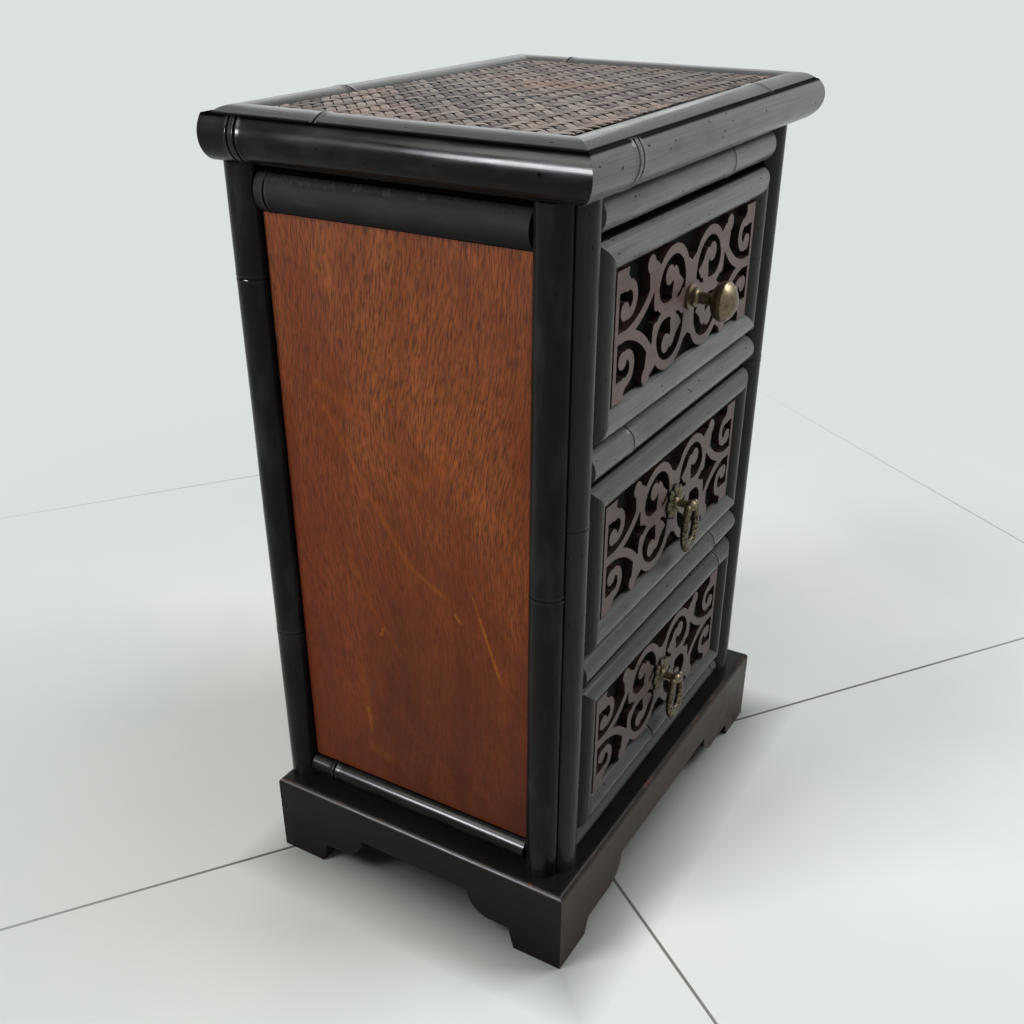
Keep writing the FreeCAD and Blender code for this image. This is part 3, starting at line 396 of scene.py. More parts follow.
# Below 0 the skin is black and without gloss: the joint's dark groove, and painted shade along the seams
# where a pole meets the next part.
groove = add(tree, "MapRange", (marks["ridge_and_seam_shade"], -0.2, -0.9, 0.0, 0.9))
smooth = add(tree, "MapRange", (blotches, 0.3, 0.7, 0.15, 0.27))
dull = add(tree, "MapRange", (marks["wear_and_sheen"], 0.0, -1.0, 0.0, 0.75))
feed(tree, shader, {"Specular IOR Level": gloss})
feed(tree, shader, {
    "Base Color": add(tree, "Mix", (groove, rubbed, "040404"), data_type="RGBA"),
    "Roughness": add(tree, "Math", (smooth, dull), operation="MAXIMUM"),
    "Specular IOR Level": add(tree, "MapRange", (marks["ridge_and_seam_shade"], -0.2, -0.9, gloss, 0.0)),
    "Normal": add(tree, "Bump", {"Height": streaks, "Strength": 0.08, "Distance": 0.5 * MM}),
})

X, Y, Z = Vector((1, 0, 0)), Vector((0, 1, 0)), Vector((0, 0, 1))
# Rows of points along a pole, and closer ones on both sides of a joint, in millimetres.
ROW_STEP = 9.0
JOINT_REACH = 9.0
JOINT_STEP = 0.5
# How far a joint's ring stands out of the pole, which the CAD box takes in, in millimetres.
JOINT_RING = 0.9
# A joint's swelling, the groove in its middle and the rubbed rings beside that, in millimetres.
SWELL_RISE, SWELL_REACH = 0.6, 3.0
GROOVE_DEPTH, GROOVE_REACH = 0.95, 0.7
RING_PLACE, RING_REACH = 1.9, 0.8
# How dark a groove is, and the painted shade of the seam along a pole's flat, on the scale of the rings.
GROOVE_MARK = 1.4
EDGE_SHADE = 1.6
# How far a pole's skin wavers, how far it lies within the CAD's, and its girth, in millimetres.
SKIN_WAVER, SKIN_INSET, GIRTH = 0.2, 0.12, 50
# How fast the waver changes along a pole, per millimetre, and from one point to the next around it.
WAVER_ALONG, WAVER_AROUND = 0.012, 0.12
# Upright poles lose these shares of their grey, as painted shade since flat-lying poles catch more light
# from above, and of their joints' rings.
UPRIGHT_SHADE, UPRIGHT_SMOOTH = 0.75, 0.5
# The first row of points stands this far from the deepest cut of a pole's end, in millimetres.
END_GAP = 0.5
# Faces at a steeper angle than this meet in a sharp edge.
SHARP = math.radians(42)


def seat(name):
    """A CAD node's lowest and highest corner, in millimetres."""
    return [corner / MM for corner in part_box(name)]


def half_round(width, rise, points=24):
    """A split pole's round: places across and out from its flat, each with the way it faces."""
    radius = (width * width / 4 + rise * rise) / (2 * rise)
    sweep = math.asin(width / 2 / radius)
    angles = [sweep - 2 * sweep * step / points for step in range(points + 1)]
    return [(radius * math.sin(a), radius * math.cos(a) - radius + rise, math.sin(a), math.cos(a))
            for a in angles]


def square(across, out):
    """A square-cut end."""
    return 0.0


def pole_of(name, run, facing, shares, cuts=(square, square)):
    """The split pole that fills a CAD node's box, with joints at shares of its length."""
    low, high = seat(name)
    size = high - low
    length, width, depth = (abs(size.dot(way)) for way in (run, facing.cross(run), facing))
    middle = (low + high) / 2 - facing * depth / 2
    joints = [share * length for share in shares]
    return half_round(width, depth - JOINT_RING), length, joints, cuts, middle, run, facing


def row_places(start, end, joints):
    """Places of the rows of points along a pole, close together at its joints."""
    count = max(1, round((end - start) / ROW_STEP))
    rows = [start + (end - start) * step / count for step in range(count + 1)]
    for joint in joints:
        rows = [row for row in rows if abs(row - joint) > JOINT_REACH]
        steps = round(2 * JOINT_REACH / JOINT_STEP)
        rows += [joint - JOINT_REACH + step * JOINT_STEP for step in range(steps + 1)]
    return sorted(row for row in rows if start <= row <= end)


def joint_form(place, joints):
    """How far a pole swells at a place, and how its skin is marked there."""
    swell = mark = 0.0
    for joint in joints:
        away = place - joint
        groove = math.exp(-(away / GROOVE_REACH) ** 2)
        swell += SWELL_RISE * math.exp(-(away / SWELL_REACH) ** 2) - GROOVE_DEPTH * groove
        mark += math.exp(-((abs(away) - RING_PLACE) / RING_REACH) ** 2) - GROOVE_MARK * groove
    return swell, mark


def split_poles(name, poles, seed, wear_and_sheen):
    """A mesh of split poles: section, length, joints, cuts of both ends, middle, run and facing."""
    points, faces, values = [], [], []
    chance = random.Random(seed)
    for section, length, joints, cuts, middle, run, facing in poles:
        side = facing.cross(run)
        tone, shift = chance.random(), chance.random()
        upright = abs(run.z)
        # Uprights keep less of the grey: painted shade.
        rub, ringed = wear_and_sheen * (1 - UPRIGHT_SHADE * upright), 1 - UPRIGHT_SMOOTH * upright
        deepest = [max(cut(spot[0], spot[1]) for spot in section) + END_GAP for cut in cuts]
        rows = row_places(deepest[0] - length / 2, length / 2 - deepest[1], joints)
        first, count = len(points), len(section)
        for index in range(-1, len(rows) + 1):
            for spot, (across, out, nx, nz) in enumerate(section):
                if index < 0:
                    place = cuts[0](across, out) - length / 2
                elif index == len(rows):
                    place = length / 2 - cuts[1](across, out)
                else:
                    place = rows[index]
                swell, ridge_and_seam_shade = (ringed * form for form in joint_form(place, joints))
                # The points at both edges of the round are painted black, as shade where the pole meets the
                # next part.
                ridge_and_seam_shade -= EDGE_SHADE * max(0.0, 1 - min(spot, count - 1 - spot) / 2)
                waver = noise.noise((place * WAVER_ALONG + shift * 50, spot * WAVER_AROUND, tone * 20))
                grow = swell + SKIN_WAVER * waver - SKIN_INSET
                local = run * place + side * (across + nx * grow) + facing * (out + nz * grow)
                points.append((middle + local) * MM)
                values.append((place * MM + shift, spot / count * GIRTH * MM, tone, ridge_and_seam_shade, rub))
        for row in range(len(rows) + 1):
            for spot in range(count):
                a = first + row * count + spot
                b = first + row * count + (spot + 1) % count
                faces.append((a, b, b + count, a + count))
        last = first + (len(rows) + 1) * count
        faces.append([first + spot for spot in range(count)][::-1])
        faces.append([last + spot for spot in range(count)])
    mesh = bpy.data.meshes.new(name)
    mesh.from_pydata(points, [], faces)
    for index, key in enumerate(SKIN_MARKS):
        layer = mesh.attributes.new(key, "FLOAT", "POINT")
        layer.data.foreach_set("value", [value[index] for value in values])
    mesh.shade_smooth()
    mesh.set_sharp_from_angle(angle=SHARP)
    mesh.materials.append(bamboo)
    piece = bpy.data.objects.new(name, mesh)
    scene.collection.objects.link(piece)
    return piece


def dress_poles(name, body, poles, seed, wear_and_sheen=0.0):
    """Split poles for the CAD node of the same name: 1 is grey of wear and painted sheen, -1 dulled."""
    piece = split_poles(f"{name}_bamboo", poles, seed, wear_and_sheen)
    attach(piece, body)
    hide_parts(name)


# Each post's facing, the place of its joint as a share of its length, its seed, and its wear and
# painted sheen.
front_posts = [
    ("post_front_left_side", -X, -0.01, 11, 0.0),
    ("post_front_left_face", -Y, 0.085, 12, 0.4),
    ("post_front_right_side", X, -0.06, 13, 0.0),
    ("post_front_right_face", -Y, 0.128, 14, 0.4),
]
for name, facing, share, seed, wear_and_sheen in front_posts:
    dress_poles(name, "carcass", [pole_of(name, Z, facing, [share])], seed, wear_and_sheen)

low, high = seat("rear_posts")
rear_width, rear_length = high.y - low.y, high.z - low.z
rear_poles = []
for side, panel, end in ((-X, "side_panel_left", 0), (X, "side_panel_right", 1)):
    face = seat(panel)[end].x
    rise = abs(seat("rear_posts")[end].x - face) - JOINT_RING
    middle = Vector((face, (low.y + high.y) / 2, (low.z + high.z) / 2))
    joints = [-0.213 * rear_length, 0.35 * rear_length]
    section = half_round(rear_width, rise)
    rear_poles.append((section, rear_length, joints, (square, square), middle, Z, side))
dress_poles("rear_posts", "carcass", rear_poles, 15)


# Split-bamboo rails: short lengths pinned between the posts, at the head and foot of each side, and
# four across the front above, between and below the drawers. Their ends are sawn square.

for level, share, wear_and_sheen in (("top", -0.46, -1.0), ("bottom", -0.39, -0.3)):
    for side, run, facing, seed in (("left", -Y, -X, 21), ("right", Y, X, 22)):
        name = f"side_rail_{level}_{side}"
        dress_poles(name, "carcass", [pole_of(name, run, facing, [share])], seed, wear_and_sheen)

rail_low, rail_high = seat("side_rail_top_left")
rail_middle = (rail_low.z + rail_high.z) / 2
rail_rise = rail_high.x - rail_low.x - JOINT_RING
rail_radius = ((rail_high.z - rail_low.z) ** 2 / 4 + rail_rise ** 2) / (2 * rail_rise)
# Chips along the head of the left rail: runs from one depth to another, their width and their share.
chip_height = 581.0
chip_out = math.sqrt(rail_radius ** 2 - (chip_height - rail_middle) ** 2) - rail_radius + rail_rise
chip_face = rail_high.x - chip_out
chips = [
    ([(120, 66)], 3.0, 0.8),
    ([(63, 60), (42, 39), (20, 17), (-7, -10)], 2.6, 0.9),
    ([(60, -105)], 2.2, 0.4),
]
for runs, width, share in chips:
    ends = [((chip_face, a, chip_height), (chip_face, b, chip_height)) for a, b in runs]
    mark(bamboo, ends, width, "55565a", share)

# Each rail's joint as a share of its length, its seed, and its wear and painted sheen, more on the
# higher rails.
front_rails = [
    ("front_rail_top", 0.21, 31, 1.0),
    ("front_divider_upper", -0.3, 32, 0.75),
    ("front_divider_lower", 0.33, 33, 0.45),
    ("front_rail_bottom", 0.46, 34, 0.3),
]
for name, share, seed, wear_and_sheen in front_rails:
    dress_poles(name, "carcass", [pole_of(name, X, -Y, [share])], seed, wear_and_sheen)


# Top: a ply board on battens, edged at the front and sides with thick split bamboo that is planed
# flat on top and mitred. Flatter strips, mitred too, are pinned over the joint round the mat.

edge_low, edge_high = seat("top_edge_front")
edge_radius = 18.0
edge_middle = edge_low.z + edge_radius
edge_flat = edge_high.z - edge_low.z - edge_radius


def edge_round(points=26):
    """The edge's round, from its planed top to its foot, and its inner corner."""
    start = math.asin(edge_flat / edge_radius)
    angles = [start - (start + math.pi / 2) * step / points for step in range(points + 1)]
    section = [(edge_radius * math.sin(a), edge_radius * math.cos(a), math.sin(a), math.cos(a))
               for a in angles]
    return section + [(edge_flat, 0, 0, 0)]


def edge_mitre(across, out):
    """The edge's end, longest at its crown."""
    return edge_radius - out


# The edges' joints are twin grooves, this far to each side of the joint's middle.
twin_half = 3.0
# Each edge's side, run, facing, joint as a share of its length, end cuts, seed, and wear and painted sheen.
top_edges = [
    ("front", X, -Y, -0.347, (edge_mitre, edge_mitre), 41, 0.85),
    ("left", -Y, -X, -0.4, (square, edge_mitre), 43, 0.0),
    ("right", Y, X, 0.18, (edge_mitre, square), 44, 0.0),
]
for side, run, facing, share, cuts, seed, wear_and_sheen in top_edges:
    name = f"top_edge_{side}"
    _, length, _, _, middle, _, _ = pole_of(name, run, facing, [])
    middle.z = edge_middle
    joints = [share * length - twin_half, share * length + twin_half]
    pole = (edge_round(), length, joints, cuts, middle, run, facing)
    dress_poles(name, "carcass", [pole], seed, wear_and_sheen)

# Pin heads: their places along the front edge and the left edge, with their heights.
pin_width, pin_length = 1.5, 0.5
front_crown, left_crown = edge_low.y + JOINT_RING, seat("top_edge_left")[0].x + JOINT_RING
pin_ends = []
for x, z in ((-165, 608), (-99, 609), (-14, 604), (67, 611)):
    face = front_crown + edge_radius - math.sqrt(edge_radius ** 2 - (z - edge_middle) ** 2)
    pin_ends.append(((x, face, z), (x + pin_length, face, z)))
for y, z in ((-33, 605), (-103, 607), (42, 605)):
    face = left_crown + edge_radius - math.sqrt(edge_radius ** 2 - (z - edge_middle) ** 2)
    pin_ends.append(((face, y, z), (face, y + pin_length, z)))
mark(bamboo, pin_ends, pin_width, "030303", 1.0)

strip_low, strip_high = seat("top_strip_front")
strip_width = strip_high.y - strip_low.y


def strip_mitre(across, out):
    """The strip's end, longest along its outer side."""
    return across + strip_width / 2


# Each strip's run, its joint as a share of its length, its seed and its wear and painted sheen.
top_strips = [
    ("front", X, 0.238, 51, 0.5),
    ("back", -X, 0.19, 52, 0.25),
    ("left", -Y, -0.19, 53, 0.5),
    ("right", Y, 0.27, 54, 0.5),
]
for side, run, share, seed, wear_and_sheen in top_strips:
    name = f"top_strip_{side}"
    pole = pole_of(name, run, Z, [share], (strip_mitre, strip_mitre))
    dress_poles(name, "carcass", [pole], seed, wear_and_sheen)


# Woven mat: flat bamboo splints, stained brown, woven on the bias over two and under two, so that
# their ribs run along the top. It lies on the board, and its cut edges meet the strips.

# Stained bamboo splints: flat ribbons with a faint shine, each of its own tone, painted dark as shade
# where it dips under the next. Their fibres, 0.3 mm wide, are drawn at 0.7 mm to show.
splint_stain, tree, shader = new_material("stained_splints")
shade = add(tree, "Attribute", attribute_name="shade").outputs["Fac"]
lift = add(tree, "Attribute", attribute_name="lift").outputs["Fac"]
run_place = add(tree, "Attribute", attribute_name="run").outputs["Vector"]
coords = add(tree, "TexCoord").outputs["Object"]
fibre = pattern(tree, run_place, (17, 0.7, 1000), Detail=4.0)
fade = pattern(tree, coords, (71, 71, 71), Detail=3.0)
warm = add(tree, "Mix", (shade, "2f2824", "918479"), data_type="RGBA")
width_place = add(tree, "SeparateXYZ", (coords,)).outputs["X"]
right_share = add(tree, "MapRange", (width_place, -80 * MM, 160 * MM, 0.0, 0.4))
dimmed = add(tree, "Mix", (right_share, warm, "332b27"), data_type="RGBA")
red_share = add(tree, "MapRange", (fade, 0.5, 0.75, 0.0, 0.6))
tinted = add(tree, "Mix", (red_share, dimmed, "855a41"), data_type="RGBA")
line_share = add(tree, "MapRange", (fibre, 0.35, 0.65, 0.45, 0.0))
lined = add(tree, "Mix", (line_share, tinted, "2b231f"), data_type="RGBA")
dip_shade = add(tree, "MapRange", (lift, 0.45, -0.55, 0.0, 0.97))
feed(tree, shader, {
    "Base Color": add(tree, "Mix", (dip_shade, lined, "0d0a08"), data_type="RGBA"),
    "Roughness": 0.55,
    "Specular IOR Level": 0.18,
    "Normal": add(tree, "Bump", {"Height": fibre, "Strength": 0.3, "Distance": 0.4 * MM}),
})

mat_low, mat_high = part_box("woven_mat")
weave_sizes = {
    "Pitch": 7.07 * MM,
    "Splint width": 6.1 * MM,
    "Splint length": 0.46,
    "Half width": mat_high.x,
    "Half depth": (mat_high.y - mat_low.y) / 2,
    "Lift": 0.9 * MM,
    "Crown": 0.35 * MM,
    "Thickness": 0.15 * MM,
    "Level": mat_high.z - 1.3 * MM,
    "Middle": (mat_low.y + mat_high.y) / 2,
}
# Splints in each of the two layers, and the points along and across one.
SPLINTS = 66
SPLINT_ROWS, SPLINT_COLUMNS = 200, 4
# How far the waves are cut flat, and how far the weave is turned out of the true diagonal, in degrees.
FLATTENING = 1.45
SKEW = 2.5
# Points that are closer together than this become one.
SAME_POINT = 0.001 * MM
weave = bpy.data.node_groups.new("bias_weave", "GeometryNodeTree")
weave.interface.new_socket("Geometry", in_out="OUTPUT", socket_type="NodeSocketGeometry")
for label in weave_sizes:
    weave.interface.new_socket(label, in_out="INPUT", socket_type="NodeSocketFloat")
entry = add(weave, "NodeGroupInput").outputs
leave = add(weave, "NodeGroupOutput")
pitch, splint_width = entry["Pitch"], entry["Splint width"]
layers = []
for sign, angle in ((1.0, 45.0), (-1.0, 135.0)):
    blank = add(weave, "GeometryNodeMeshGrid", {
        "Size X": entry["Splint length"], "Size Y": splint_width,
        "Vertices X": SPLINT_ROWS, "Vertices Y": SPLINT_COLUMNS})
    step = add(weave, "CombineXYZ", {"Y": pitch})
    first = add(weave, "Math", (pitch, -SPLINTS / 2), operation="MULTIPLY")
    start = add(weave, "CombineXYZ", {"Y": first})
    rank = add(weave, "GeometryNodeMeshLine", {"Count": SPLINTS, "Start Location": start, "Offset": step})
    laid = add(weave, "GeometryNodeInstanceOnPoints", {"Points": rank, "Instance": blank})
    geometry = add(weave, "GeometryNodeRealizeInstances", {"Geometry": laid})
    position = add(weave, "GeometryNodeInputPosition")
    place = add(weave, "SeparateXYZ", (position,)).outputs
    # Each splint is told by its number, and its waves by how many pitches along it lies.
    rank_place = add(weave, "Math", (place["Y"], pitch), operation="DIVIDE")
    index = add(weave, "Math", (rank_place,), operation="ROUND")
    run_count = add(weave, "Math", (place["X"], pitch), operation="DIVIDE")
    crossing = add(weave, "Math", (index, sign, run_count), operation="MULTIPLY_ADD")
    phase = add(weave, "Math", (crossing, 0.5), operation="ADD")
    swing = add(weave, "Math", (phase, math.pi / 2), operation="MULTIPLY")
    wave = add(weave, "Math", (swing,), operation="SINE")
    steep_wave = add(weave, "Math", (wave, FLATTENING * sign), operation="MULTIPLY")
    capped_wave = add(weave, "Math", (steep_wave, 1.0), operation="MINIMUM")
    flat_wave = add(weave, "Math", (capped_wave, -1.0), operation="MAXIMUM")
    # Across its width a splint is slightly domed.
    splint_middle = add(weave, "Math", (index, pitch), operation="MULTIPLY")
    offset = add(weave, "Math", (place["Y"], splint_middle), operation="SUBTRACT")
    half_width = add(weave, "Math", (splint_width, 0.5), operation="MULTIPLY")
    share = add(weave, "Math", (offset, half_width), operation="DIVIDE")
    share_squared = add(weave, "Math", (share, share), operation="MULTIPLY")
    dome = add(weave, "Math", (1.0, share_squared), operation="SUBTRACT")
    crown = add(weave, "Math", (dome, entry["Crown"]), operation="MULTIPLY")
    rise = add(weave, "Math", (flat_wave, entry["Lift"], crown), operation="MULTIPLY_ADD")
    chance = add(weave, "FunctionNodeRandomValue", {"ID": index, "Seed": int(angle)}, data_type="FLOAT")
    run_vector = add(weave, "CombineXYZ", (place["X"], place["Y"], sign))
    stored = (("lift", "FLOAT", flat_wave), ("shade", "FLOAT", chance), ("run", "FLOAT_VECTOR", run_vector))
    for key, kind, value in stored:
        inputs = {"Geometry": geometry, "Name": key, "Value": value}
        geometry = add(weave, "GeometryNodeStoreNamedAttribute", inputs, data_type=kind, domain="POINT")
    upward = add(weave, "CombineXYZ", {"Z": rise})
    lifted = add(weave, "GeometryNodeSetPosition", {"Geometry": geometry, "Offset": upward})
    heading = (0, 0, math.radians(angle - SKEW))
    layers.append(add(weave, "GeometryNodeTransform", {"Geometry": lifted, "Rotation": heading}))
joined = add(weave, "GeometryNodeJoinGeometry")
for layer in layers:
    feed(weave, joined, {"Geometry": layer})
# The splints are cut off at the mat's edges.
position = add(weave, "GeometryNodeInputPosition")
place = add(weave, "SeparateXYZ", (position,)).outputs
past_edges = []
for axis, limit in (("X", "Half width"), ("Y", "Half depth")):
    away = add(weave, "Math", (place[axis],), operation="ABSOLUTE")
    past_edges.append(add(weave, "Math", (away, entry[limit]), operation="GREATER_THAN"))
outside = add(weave, "Math", past_edges, operation="MAXIMUM")
trim_inputs = {"Geometry": joined, "Selection": outside}
trimmed = add(weave, "GeometryNodeDeleteGeometry", trim_inputs, domain="POINT")
# Each splint gets its thickness, downwards, and is closed.
down = add(weave, "Math", (entry["Thickness"], -1.0), operation="MULTIPLY")
below = add(weave, "GeometryNodeExtrudeMesh", {"Mesh": trimmed, "Offset Scale": down, "Individual": False})
underside = add(weave, "GeometryNodeFlipFaces", {"Mesh": below})
halves = add(weave, "GeometryNodeJoinGeometry")
for half in (trimmed, underside):
    feed(weave, halves, {"Geometry": half})
closed = add(weave, "GeometryNodeMergeByDistance", {"Geometry": halves, "Distance": SAME_POINT})
home = add(weave, "CombineXYZ", {"Y": entry["Middle"], "Z": entry["Level"]})
seated = add(weave, "GeometryNodeTransform", {"Geometry": closed, "Translation": home})
real = add(weave, "GeometryNodeRealizeInstances", {"Geometry": seated})
stained = add(weave, "GeometryNodeSetMaterial", {"Geometry": real, "Material": splint_stain})
feed(weave, leave, {"Geometry": stained})

loom = bpy.data.objects.new("loom", bpy.data.meshes.new("loom"))
scene.collection.objects.link(loom)
modifier = loom.modifiers.new("weave", "NODES")
modifier.node_group = weave
for socket in weave.interface.items_tree:
    if socket.in_out == "INPUT":
        modifier[socket.identifier] = weave_sizes[socket.name]
bpy.context.view_layer.update()
woven = bpy.data.meshes.new_from_object(loom.evaluated_get(bpy.context.evaluated_depsgraph_get()))
bpy.data.objects.remove(loom)
woven.shade_smooth()
woven.set_sharp_from_angle(angle=SHARP)
mat = bpy.data.objects.new("woven_splints", woven)
scene.collection.objects.link(mat)
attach(mat, "carcass")
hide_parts("woven_mat")


# Drawers: plywood boxes whose fronts carry a fret-sawn scroll grille on a black board, framed with
# mitred split bamboo. The grille's face is stained brown, and its sawn walls are darker.

# Stained plywood, fret-sawn: a dull brown face with fine grain lines, over walls that the saw left
# rough and nearly black.
fretwood, tree, shader = new_material("stained_fretwood")
coords = add(tree, "TexCoord").outputs["Object"]
outward = add(tree, "TexCoord").outputs["Normal"]
grain = pattern(tree, coords, (25, 3.3, 2), Detail=5.0)
stain = pattern(tree, coords, (33, 33, 33), Detail=4.0)
face = add(tree, "Mix", (grain, "3d302d", "6c5853"), data_type="RGBA")
height = add(tree, "SeparateXYZ", (coords,)).outputs["Z"]
# The grille is painted darker towards the bottom, as painted shade.
low_shade = add(tree, "MapRange", (height, 500 * MM, 100 * MM, 0.0, 0.6))
shaded_low = add(tree, "Mix", (low_shade, face, "261c19"), data_type="RGBA")
wash = add(tree, "MapRange", (stain, 0.4, 0.7, 0.0, 0.5))
washed = add(tree, "Mix", (wash, shaded_low, "3d302e"), data_type="RGBA")
facing_back = add(tree, "SeparateXYZ", (outward,)).outputs["Y"]
wall = add(tree, "MapRange", (facing_back, -0.8, -0.5))
sawn = add(tree, "Mix", (stain, "120c0a", "2a1811"), data_type="RGBA")
feed(tree, shader, {
    "Base Color": add(tree, "Mix", (wall, washed, sawn), data_type="RGBA"),
    "Roughness": 0.46,
    "Specular IOR Level": 0.3,
    "Normal": add(tree, "Bump", {"Height": grain, "Strength": 0.2, "Distance": 0.4 * MM}),
})

frame_width = 21.0


def frame_mitre(across, out):
    """The frame stick's end, longest along its outer side."""
    return across + frame_width / 2


# Where a frame's sticks have a joint, as a share of their length.
frame_joints = {
    "bottom": {"top": -0.38, "bottom": -0.054},
    "middle": {"left": 0.36},
    "top": {"right": -0.01},
}
# Each frame's drawer, seed, and wear and painted sheen, more on the higher drawers.
for name, seed, wear_and_sheen in (("bottom", 61, 0.35), ("middle", 62, 0.55), ("top", 63, 0.9)):
    low, high = seat(f"drawer_{name}_frame")
    centre, inset = (low + high) / 2, frame_width / 2
    wide, tall, rise = high.x - low.x, high.z - low.z, high.y - low.y - JOINT_RING
    sticks = [
        ("bottom", wide, centre.x, low.z + inset, X),
        ("top", wide, centre.x, high.z - inset, -X),
        ("left", tall, low.x + inset, centre.z, -Z),
        ("right", tall, high.x - inset, centre.z, Z),
    ]
    poles = []
    for side, length, x, z, run in sticks:
        joints = [frame_joints[name][side] * length] if side in frame_joints[name] else []
        section = half_round(frame_width, rise)
        cuts = (frame_mitre, frame_mitre)
        poles.append((section, length, joints, cuts, Vector((x, high.y, z)), run, -Y))
    dress_poles(f"drawer_{name}_frame", f"drawer_{name}", poles, seed, wear_and_sheen)
    dress(fretwood, f"drawer_{name}_grille")
    dress(dark_paint, f"drawer_{name}_front")
    dress(softwood, f"drawer_{name}_walls", f"drawer_{name}_bottom")


# Brass: a turned knob on the top drawer, and cast rosettes with studs and swinging loops on the
# others. The castings are leafy, bright where hands rub them and almost black in the hollows.

# Turned brass that has aged: a soft metal shine under brown spots of tarnish.
brass, tree, shader = new_material("aged_brass")
coords = add(tree, "TexCoord").outputs["Object"]
spots = pattern(tree, coords, (2.4, 2.4, 2.4), Detail=5.0, Roughness=0.65)
tarnish = pattern(tree, coords, (11, 11, 11), Detail=3.0)
warm = add(tree, "Mix", (tarnish, "5a4e3b", "82745e"), data_type="RGBA")
brown = add(tree, "MapRange", (spots, 0.45, 0.72, 0.0, 0.6))
feed(tree, shader, {
    "Base Color": add(tree, "Mix", (brown, warm, "2a2318"), data_type="RGBA"),
    "Roughness": add(tree, "MapRange", (spots, 0.3, 0.7, 0.26, 0.5)),
    "Metallic": 1.0,
})

# Cast brass: a grainy skin, bright on the crests that hands rub and black with old dirt below.
cast_brass, tree, shader = new_material("cast_brass")
coords = add(tree, "TexCoord").outputs["Object"]
crest = add(tree, "Attribute", attribute_name="crest").outputs["Fac"]
spots = pattern(tree, coords, (2, 2, 2), Detail=4.0, Roughness=0.65)
warm = add(tree, "Mix", (spots, "554c3c", "8a7e66"), data_type="RGBA")
bright = add(tree, "MapRange", (crest, 0.25, 0.75))
feed(tree, shader, {
    "Base Color": add(tree, "Mix", (bright, "0d0b08", warm), data_type="RGBA"),
    "Roughness": add(tree, "MapRange", (spots, 0.3, 0.7, 0.28, 0.55)),
    "Metallic": 1.0,
})


# A casting's faces meet in a sharp edge only where they turn further than this, as at its back.
RIM_ANGLE = math.radians(80)


def casting(name, points, crests, faces, body, node_name):
    """A brass casting that stands for a CAD node and moves with a body."""
    mesh = bpy.data.meshes.new(name)
    mesh.from_pydata(points, [], faces)
    mesh.attributes.new("crest", "FLOAT", "POINT").data.foreach_set("value", crests)
    mesh.shade_smooth()
    solid = bmesh.new()
    solid.from_mesh(mesh)
    bmesh.ops.remove_doubles(solid, verts=solid.verts, dist=SAME_POINT)
    bmesh.ops.recalc_face_normals(solid, faces=solid.faces)
    for edge in solid.edges:
        edge.smooth = edge.calc_face_angle(0.0) < RIM_ANGLE
    solid.to_mesh(mesh)
    solid.free()
    mesh.materials.append(cast_brass)
    piece = bpy.data.objects.new(name, mesh)
    scene.collection.objects.link(piece)
    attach(piece, body)
    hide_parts(node_name)


def grid_faces(first, rows, columns):
    """Faces between rows of points that each close on themselves."""
    faces = []
    for row in range(rows - 1):
        for column in range(columns):
            a = first + row * columns + column
            b = first + row * columns + (column + 1) % columns
            faces.append((a, b, b + columns, a + columns))
    return faces


# The rosette's points and figure. Places and reaches are shares of its radius.
RINGS, SPOKES, PETALS, BEADS = 30, 144, 8, 18
NOTCH = 0.16
PETAL_PLACE, PETAL_REACH = 0.7, 0.3
BEAD_PLACE, BEAD_REACH = 0.38, 0.06
BOSS_REACH = 0.26
VEIN_DEPTH, VEIN_REACH = 0.35, 0.05
# The rosette's grain, and the shares of its thickness that are plate and relief.
GRAIN, PLATE, RELIEF = 0.25, 0.3, 0.65


def rosette(name, body, node_name):
    """A round plate of petals with a ring of beads round its middle."""
    low, high = seat(node_name)
    centre, reach, thick = (low + high) / 2, (high.x - low.x) / 2, high.y - low.y
    points, crests = [], []
    for ring in range(RINGS + 1):
        share = ring / RINGS
        for spoke in range(SPOKES):
            angle = 2 * math.pi * spoke / SPOKES
            petal = abs(math.cos(PETALS / 2 * angle))
            radius = reach * share * (1 - NOTCH + NOTCH * petal)
            petal_share = (share - PETAL_PLACE) / PETAL_REACH
            dome = math.sqrt(max(0.0, 1 - petal_share ** 2)) * (0.3 + 0.7 * petal)
            vein = VEIN_DEPTH * math.exp(-((petal - 1) / VEIN_REACH) ** 2) * (share > 0.5)
            bead = max(0.0, math.cos(BEADS * angle)) * math.exp(-((share - BEAD_PLACE) / BEAD_REACH) ** 2)
            boss = math.exp(-(share / BOSS_REACH) ** 4)
            grain = noise.noise((radius * math.cos(angle), radius * math.sin(angle), 3.0))
            crest = max(dome - vein, bead, boss) + GRAIN * grain
            height = thick * min(1.0, PLATE + RELIEF * crest) if ring < RINGS else 0.0
            spot = Vector((radius * math.cos(angle), -height, radius * math.sin(angle)))
            points.append((Vector((centre.x, high.y, centre.z)) + spot) * MM)
            crests.append(crest)
    back = [RINGS * SPOKES + spoke for spoke in range(SPOKES)]
    casting(name, points, crests, grid_faces(0, RINGS + 1, SPOKES) + [back], body, node_name)


# The loop's points, and its sizes in millimetres: its half width, the rise of its foot's middle, the
# half width of its rod at the ears and what that gains at the foot, and the height of the leaves.
STEPS, ROUND = 150, 30
SPREAD, FOOT_RISE = 10.85, 6.0
ROD_HALF, FOOT_GAIN, LEAF_RISE = 1.3, 4.2, 0.3
TURN_END = 0.78 * math.pi
# The leaves' fineness, per millimetre, the height between hollow and crest, and the bar's polish.
FINENESS, MIDDLE_CREST, BAR_CREST = 0.75, 0.55, 0.7


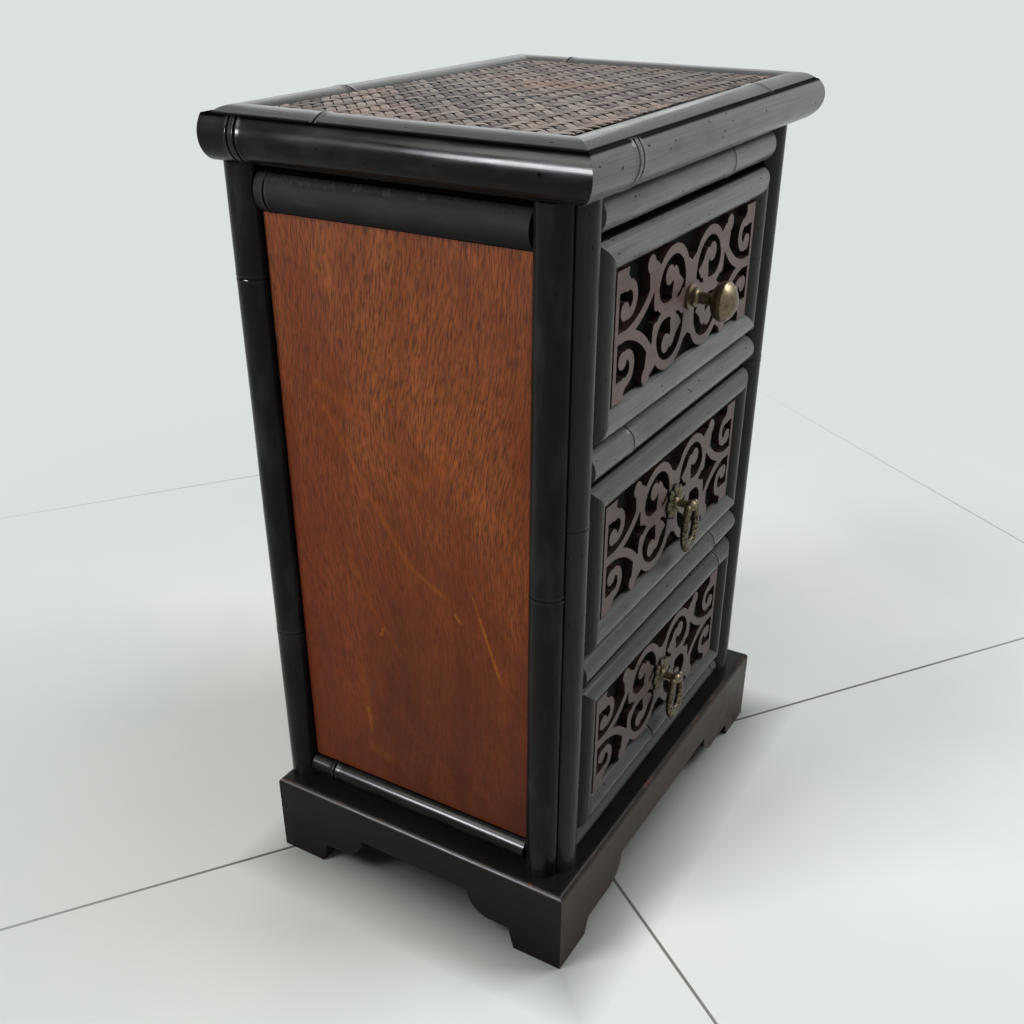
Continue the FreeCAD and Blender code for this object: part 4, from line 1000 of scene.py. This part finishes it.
def drop_loop(name, body, node_name):
    """A drop-shaped loop, thick and leafy at its foot, with a bar through the stud's eye."""
    low, high = seat(node_name)
    ear_rise, bar_radius, ear_place = 3.0, 1.5, 6.9
    pivot = Vector(((low.x + high.x) / 2, (low.y + high.y) / 2, high.z - ear_rise))
    drop, half_thick = pivot.z - low.z, (high.y - low.y) / 2
    points, crests, faces = [], [], []
    for step in range(STEPS + 1):
        side = 2 * step / STEPS - 1
        share = abs(side)
        hand = 1 if side > 0 else -1
        x = hand * SPREAD * math.sin(TURN_END * share)
        z = -(drop - FOOT_RISE) * math.cos(math.pi / 2 * share)
        ahead_x = SPREAD * TURN_END * math.cos(TURN_END * share)
        ahead_z = hand * (drop - FOOT_RISE) * math.pi / 2 * math.sin(math.pi / 2 * share)
        outward = Vector((ahead_z, 0, -ahead_x)).normalized()
        width = ROD_HALF + FOOT_GAIN * (1 - share) ** 1.1
        for spot in range(ROUND):
            angle = 2 * math.pi * spot / ROUND
            surface = Vector((x, 0, z)) + outward * (width * math.cos(angle))
            surface.y = (half_thick - LEAF_RISE) * math.sin(angle)
            grain = noise.noise(surface * FINENESS) + 0.6 * noise.noise(surface * (2 * FINENESS))
            leaf = min(1.0, 3.0 * (1 - share))
            crest = max(0.0, min(1.0, MIDDLE_CREST + 0.9 * leaf * grain))
            surface += (surface - Vector((x, 0, z))).normalized() * (LEAF_RISE * crest)
            points.append((pivot + surface) * MM)
            crests.append(crest)
    faces += grid_faces(0, STEPS + 1, ROUND)
    last = STEPS * ROUND
    faces.append(list(range(ROUND))[::-1])
    faces.append(list(range(last, last + ROUND)))
    ear = [(0, 1.6), (2.1, 1.5), (2.75, 0.8), (2.75, -0.8), (2.1, -1.5), (bar_radius, -1.65)]
    profile = [(radius, ear_place + x) for radius, x in ear]
    profile += [(radius, -x) for radius, x in profile[::-1]]
    first = len(points)
    for radius, x in profile:
        for spot in range(ROUND):
            angle = 2 * math.pi * spot / ROUND
            offset = Vector((x, radius * math.cos(angle), radius * math.sin(angle)))
            points.append((pivot + offset) * MM)
            crests.append(BAR_CREST)
    faces += grid_faces(first, len(profile), ROUND)
    casting(name, points, crests, faces, body, node_name)


for level in ("middle", "bottom"):
    rosette(f"rosette_{level}", f"drawer_{level}", f"pull_plate_{level}")
    drop_loop(f"drop_loop_{level}", f"pull_{level}", f"pull_loop_{level}")
    dress(brass, f"pull_stud_{level}")
dress(brass, "knob", "knob_screw")
